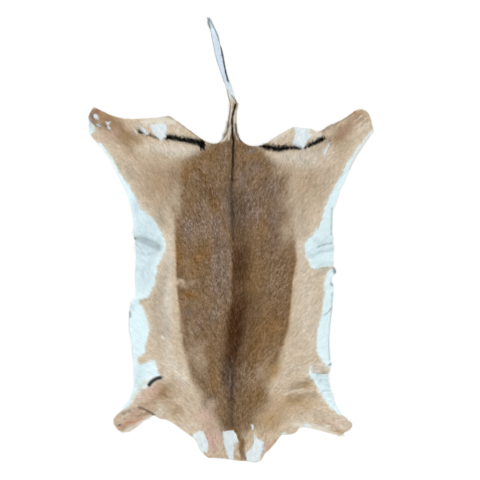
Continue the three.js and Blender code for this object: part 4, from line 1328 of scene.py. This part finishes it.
hair, tree, body = new_material("impala hair", roughness=0.6, gloss=0.06)
own = add(tree, "ShaderNodeAttribute", attribute_name="hair_shade", out="Fac")
along = add(tree, "ShaderNodeAttribute", attribute_name="hair_along", out="Fac")
grizzle = reckon(tree, "SUBTRACT", noise(tree, GRIZZLES_PER_METRE, 2.0, 0.6), 0.5)
ragged = reckon(tree, "MULTIPLY_ADD", own, 2.0, -1.0)
tone = reckon(tree, "MULTIPLY_ADD", own, HAIR_SPREAD, DARKEST_HAIR)
tone = reckon(tree, "MAXIMUM", reckon(tree, "MULTIPLY_ADD", grizzle, GRIZZLE, tone), DIMMEST)
tone = reckon(tree, "MULTIPLY", tone, reckon(tree, "MULTIPLY_ADD", along, TIP_MORE, ROOT_TONE))
coat_coloured(tree, body, ragged, tone)
print("hair:", len(tree.nodes), "nodes")

# %% [markdown]
# The flesh side is suede, pale and napped. Two noises do for it: a broad one for the faint clouds that
# tanning leaves and a fine one for the nap, which also raises it. Nothing of it shows in the picture
# from above, but whoever lifts a corner sees it.
# %% Flesh side
SUEDE = {"pale": "#DACBB1", "dark": "#C9B493", "nap": "#E8DCC6"}
NAP_SHARE = 0.35

suede, tree, body = new_material("suede flesh side", roughness=0.92, gloss=0.15)
cloud, nap = noise(tree, 9.0, 5.0, 0.55), noise(tree, 260.0, 3.0, 0.6)
base = blend(tree, ramp(tree, cloud, 0.34, 0.70), colour(SUEDE["pale"]), colour(SUEDE["dark"]))
base = blend(tree, reckon(tree, "MULTIPLY", nap, NAP_SHARE), base, colour(SUEDE["nap"]))
tree.links.new(base, body.inputs["Base Color"])
bumped(tree, body, nap, strength=0.5, distance=0.0004)
skin_mesh.materials.append(underfur)
skin_mesh.materials.append(suede)
print("suede:", len(tree.nodes), "nodes")

# %% [markdown]
# ## Growing the coat
# There are far too many hairs to place by hand and all of them follow one rule, so Geometry Nodes grow
# them. The tree makes one small blade, scatters roots over the skin, turns each blade along the flow
# with a little disorder, scales it by the length wanted there, and makes everything real at the end.
# Real hair is finer and denser. A flat blade about a millimetre wide stands for a lock of some twenty
# hairs that cling together, which keeps the triangles affordable and still gives the right grain.
# %% The hair tree
hair_tree = bpy.data.node_groups.new("grow hair", "GeometryNodeTree")
HAIR_INPUTS = [
    ("Geometry", "NodeSocketGeometry", None), ("Locks per square metre", FLOAT, 470000.0),
    ("From Y", FLOAT, -1.0), ("To Y", FLOAT, 1.0), ("Width", FLOAT, 0.00115), ("Rise", FLOAT, 0.10),
    ("Arch", FLOAT, 0.10), ("Disorder", FLOAT, 0.22), ("Length factor", FLOAT, 1.0),
    ("Segments", "NodeSocketInt", 3), ("Seed", "NodeSocketInt", SEED),
    ("Material", "NodeSocketMaterial", None),
]
hair_sockets = {}
for label, kind, start in HAIR_INPUTS:
    socket = hair_tree.interface.new_socket(name=label, in_out="INPUT", socket_type=kind)
    if start is not None:
        socket.default_value = start
    hair_sockets[label] = socket.identifier
hair_tree.interface.new_socket(name="Geometry", in_out="OUTPUT", socket_type="NodeSocketGeometry")
grow_in = hair_tree.nodes.new("NodeGroupInput").outputs
grow_out = hair_tree.nodes.new("NodeGroupOutput")


def g(kind, *feeds, out=0, **settings):
    return add(hair_tree, kind, *feeds, out=out, **settings)


def gm(operation, *feeds):
    return reckon(hair_tree, operation, *feeds)


def place_parts():
    """X, Y and Z of where the tree is."""
    node = hair_tree.nodes.new("ShaderNodeSeparateXYZ")
    hair_tree.links.new(g("GeometryNodeInputPosition"), node.inputs[0])
    return node.outputs


def store(geometry, name, value, kind="FLOAT"):
    return g("GeometryNodeStoreNamedAttribute", geometry, True, name, value, data_type=kind,
             domain="POINT")


def stored(name, kind="FLOAT"):
    return g("GeometryNodeInputNamedAttribute", name, data_type=kind)


print(len(HAIR_INPUTS), "inputs to the hair tree")

# %% [markdown]
# One blade is a flat strip from the root at 0 to the point at 1. It keeps its width for most of its
# length, as a hair does, and arches up a little in the middle. Its far end is merged into one point.
# %% One blade
TAPER, ARCH_LEAN = 1.7, 1.45

strip = g("GeometryNodeMeshGrid", 1.0, 1.0, grow_in["Segments"], 2, out="Mesh")
along_x, across_y, _ = place_parts()
t = gm("ADD", along_x, 0.5)
taper = gm("SQRT", gm("MAXIMUM", gm("SUBTRACT", 1.0, gm("POWER", t, TAPER)), 0.0))
bow = gm("MULTIPLY", gm("MULTIPLY", t, gm("SUBTRACT", ARCH_LEAN, t)), grow_in["Arch"])
shaped = g("ShaderNodeCombineXYZ", t, gm("MULTIPLY", across_y, taper), bow)
blade = store(g("GeometryNodeSetPosition", strip, True, shaped), "hair_along", t)
blade = g("GeometryNodeMergeByDistance", blade, True, 0.001)
print("blade nodes:", len(hair_tree.nodes))

# %% [markdown]
# Roots are scattered at random, as many as the attribute "cover" allows, and only between two limits
# across the hide, so that the coat comes out as a few separate pieces of a manageable size. Each lock
# gets its own number, "hair_shade", which the material uses for its tone and for ragged borders.
# %% Roots
amount = gm("MULTIPLY", stored("cover"), grow_in["Locks per square metre"])
scatter = hair_tree.nodes.new("GeometryNodeDistributePointsOnFaces")
scatter.distribute_method = "RANDOM"
for key, feed in (("Mesh", grow_in["Geometry"]), ("Density", amount), ("Seed", grow_in["Seed"])):
    hair_tree.links.new(feed, scatter.inputs[key])
root_y = place_parts()[1]
too_low = g("FunctionNodeCompare", root_y, grow_in["From Y"], data_type="FLOAT",
            operation="LESS_THAN")
too_high = g("FunctionNodeCompare", root_y, grow_in["To Y"], data_type="FLOAT",
             operation="GREATER_EQUAL")
outside = g("FunctionNodeBooleanMath", too_low, too_high, operation="OR")
roots = g("GeometryNodeDeleteGeometry", scatter.outputs["Points"], outside, domain="POINT")


def chance(least, most, seed):
    """A number between two limits, another one for each root."""
    node = hair_tree.nodes.new("FunctionNodeRandomValue")
    node.data_type = "FLOAT"
    shown = [s for s in node.inputs if s.enabled and not s.is_unavailable]
    shown[0].default_value, shown[1].default_value = least, most
    hair_tree.links.new(gm("ADD", grow_in["Seed"], float(seed)), node.inputs["Seed"])
    return [s for s in node.outputs if s.enabled and not s.is_unavailable][0]


roots = store(roots, "hair_shade", chance(0.0, 1.0, 11))
roots = store(roots, "root_place", g("GeometryNodeInputPosition"), "FLOAT_VECTOR")
print("with roots:", len(hair_tree.nodes), "nodes")

# %% [markdown]
# Each blade stands along the skin's normal and lies along the flow. Then it is turned a little: sideways
# with its neighbours, in clumps of a centimetre or two, and by itself, upwards by the rise, and about
# its own length. Points that would dip into the ground are lifted to it.
# %% Directions and sizes
CLUMPS_PER_METRE, CLUMP_SWAY = 70.0, 0.9
PITCHES, MEAN_PITCH, ROLLS = (-0.7, 1.0), 0.35, (-0.5, 0.5)
LENGTHS, WIDTHS = (0.7, 1.25), (0.7, 1.2)
LOWEST = 0.0004  # metres above the ground

lie = g("FunctionNodeAxesToRotation", scatter.outputs["Normal"], stored("flow", "FLOAT_VECTOR"),
        primary_axis="Z", secondary_axis="X")
clump = g("ShaderNodeTexNoise", None, CLUMPS_PER_METRE, 1.0, 0.5, out="Fac")
sway = gm("MULTIPLY", gm("SUBTRACT", clump, 0.5), CLUMP_SWAY)
yaw = gm("ADD", gm("MULTIPLY", chance(-1.0, 1.0, 12), grow_in["Disorder"]), sway)
pitch = gm("MULTIPLY", gm("ADD", chance(*PITCHES, 13), MEAN_PITCH),
           gm("MULTIPLY", grow_in["Rise"], -1.0))
unruly = g("FunctionNodeEulerToRotation",
           g("ShaderNodeCombineXYZ", chance(*ROLLS, 14), pitch, yaw))
lie = g("FunctionNodeRotateRotation", lie, unruly, rotation_space="LOCAL")
length = gm("MULTIPLY", gm("MULTIPLY", stored("reach"), MM), chance(*LENGTHS, 15))
length = gm("MULTIPLY", length, grow_in["Length factor"])
width = gm("MULTIPLY", grow_in["Width"], chance(*WIDTHS, 16))
size = g("ShaderNodeCombineXYZ", length, width, length)
locks = hair_tree.nodes.new("GeometryNodeInstanceOnPoints")
for key, feed in (("Points", roots), ("Instance", blade), ("Rotation", lie), ("Scale", size)):
    hair_tree.links.new(feed, locks.inputs[key])
real = g("GeometryNodeRealizeInstances", locks.outputs[0])
x, y, z = place_parts()
real = g("GeometryNodeSetPosition", real, True,
         g("ShaderNodeCombineXYZ", x, y, gm("MAXIMUM", z, LOWEST)))
dressed = g("GeometryNodeSetMaterial", real, True, grow_in["Material"])
hair_tree.links.new(dressed, grow_out.inputs[0])
print("hair tree:", len(hair_tree.nodes), "nodes")

# %% [markdown]
# The tree grows on a copy of the upper face alone, the scalp, which says how much hair grows, how long
# it is and which way it lies. It is a tool: once the coat is a plain mesh, the scalp is thrown away.
# %% The scalp
scalp_mesh = mesh_from("scalp", vertices[:n_upper], upper_faces)
carry(scalp_mesh, "cover", upper_cover)
carry(scalp_mesh, "reach", upper_reach)
carry(scalp_mesh, "flow", upper_flow, "FLOAT_VECTOR")
scalp = bpy.data.objects.new("scalp", scalp_mesh)
scene.collection.objects.link(scalp)
print("scalp:", len(scalp_mesh.polygons), "triangles")

# %% [markdown]
# The skin's points are too far apart to carry the marks' crisp borders, so each hair asks for its own.
# It shows itself half its length ahead of its root, and that is where it asks. For a baked picture the
# coat also needs a map, and seen from above is good enough for it.
# %% From a root to a coloured hair
BLADE_POINTS = 5


def carried(mesh, name, wide=1):
    """What the first point of each hair carries."""
    values = np.empty(len(mesh.vertices) * wide, np.float32)
    mesh.attributes[name].data.foreach_get("vector" if wide == 3 else "value", values)
    return values.reshape(-1, wide)[::BLADE_POINTS]


def give_marks(mesh):
    assert len(mesh.vertices) % BLADE_POINTS == 0
    shown = carried(mesh, "root_place", 3) / MM + carried(mesh, "flow", 3) * carried(mesh, "reach") / 2
    for name, values in colours_at(shown[:, 0], shown[:, 1]).items():
        carry(mesh, name, np.repeat(values, BLADE_POINTS))
    for spare in ("cover", "reach", "flow", "root_place"):
        mesh.attributes.remove(mesh.attributes[spare])


def lay_out_locks(mesh):
    """The map of a coat piece is the piece seen from above."""
    places = np.empty(len(mesh.vertices) * 3, np.float32)
    mesh.vertices.foreach_get("co", places)
    places = places.reshape(-1, 3)[:, :2]
    low, high = places.min(axis=0), places.max(axis=0)
    corner_vertex = np.empty(len(mesh.loops), np.int32)
    mesh.loops.foreach_get("vertex_index", corner_vertex)
    spread = (places[corner_vertex] - low) / (high - low) * 0.98 + 0.01
    layer = mesh.uv_layers.new(name="OFBake")
    layer.uv.foreach_set("vector", spread.astype(np.float32).ravel())
    mesh.polygons.foreach_set("use_smooth", np.ones(len(mesh.polygons), bool))


def grow(name, **inputs):
    """Runs the tree on the scalp and gives back what it grew as a plain object."""
    modifier = scalp.modifiers.new("hair", "NODES")
    modifier.node_group = hair_tree
    for label, value in {"Material": hair, **inputs}.items():
        modifier[hair_sockets[label.replace("_", " ")]] = value
    graph = bpy.context.evaluated_depsgraph_get()
    mesh = bpy.data.meshes.new_from_object(scalp.evaluated_get(graph), preserve_all_data_layers=True,
                                           depsgraph=graph)
    scalp.modifiers.remove(modifier)
    mesh.name = name
    give_marks(mesh)
    lay_out_locks(mesh)
    piece = bpy.data.objects.new(name, mesh)
    scene.collection.objects.link(piece)
    return piece


print("each hair has", BLADE_POINTS, "points")

# %% [markdown]
# Five bands across the hide, from the neck up to the tail, each a little under the size that a piece
# may have.
# %% Grow the coat
BANDS = {
    "coat_neck": (-1.0, -0.405), "coat_shoulders": (-0.405, -0.215), "coat_back": (-0.215, -0.005),
    "coat_loins": (-0.005, 0.190), "coat_rump": (0.190, 1.0),
}
coat_pieces = []
for name, (start, stop) in BANDS.items():
    piece = grow(name, From_Y=start, To_Y=stop)
    coat_pieces.append(piece)
    count = sum(len(p.vertices) - 2 for p in piece.data.polygons)
    print(name, len(piece.data.vertices), "points,", count, "triangles")

# %% [markdown]
# A few places have longer, looser hair: the sides of the tail root, the tip of the tail, the left
# armpit, the fringes of the forelegs, and the bars on the haunches, which stand up like brushes. The
# same tree grows it from the same scalp, with fewer and longer locks that keep less order. Only the
# amounts and lengths on the scalp change.
# %% Longer wisps
# line, half width, amount, length
WISPS = {
    "tail root, left": ([(-8, 326), (-12, 308), (-22, 292)], 5, 0.9, 17),
    "tail root, right": ([(14, 326), (16, 306), (23, 290)], 5, 0.9, 15),
    "tail, tip": ([(-64, 622), (-60, 606)], 7, 0.8, 16),
    "left bar": ([(-250, 304), (-215, 290), (-150, 290), (-84, 272)], 5, 0.5, 15),
    "right bar": ([(92, 265), (150, 261), (215, 266), (262, 288)], 5, 0.5, 15),
    "left armpit": ([(-292, -470), (-270, -440), (-246, -416)], 7, 0.4, 16),
    "left foreleg, fringe": ([(-300, -540), (-264, -522), (-236, -504)], 6, 0.5, 15),
    "right foreleg, fringe": ([(214, -530), (262, -540), (312, -552)], 6, 0.5, 13),
}
amount, long_reach = np.zeros(n_upper), np.full(n_upper, 10.0)
for line, half, share, length_mm in WISPS.values():
    near = soft_step(LINE_EDGE - to_line(upper[:, 0], upper[:, 1], line) / half)
    amount = np.maximum(amount, near * share)
    long_reach = np.where(near > 0, length_mm, long_reach)
for name, values in (("cover", amount * (upper_cover > 0.5)), ("reach", long_reach)):
    scalp_mesh.attributes[name].data.foreach_set("value", values.astype(np.float32))
piece = grow("coat_wisps", Locks_per_square_metre=260000.0, Width=0.0008, Disorder=0.45, Rise=0.16)
coat_pieces.append(piece)
print("coat_wisps:", len(piece.data.vertices) // BLADE_POINTS, "locks")
bpy.data.objects.remove(scalp)
bpy.data.meshes.remove(scalp_mesh)

# %% [markdown]
# ## Tie the pieces to the model
# Every piece rides with the one body. The skin, with the coat pieces on it, stands for the CAD solid,
# which is hidden, and the width and length of its cut are measured.
# %% Tie up
for piece in [skin, *coat_pieces]:
    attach(piece, "root")
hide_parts("hide")
width, length = (ring.max(axis=0) - ring.min(axis=0)) * MM
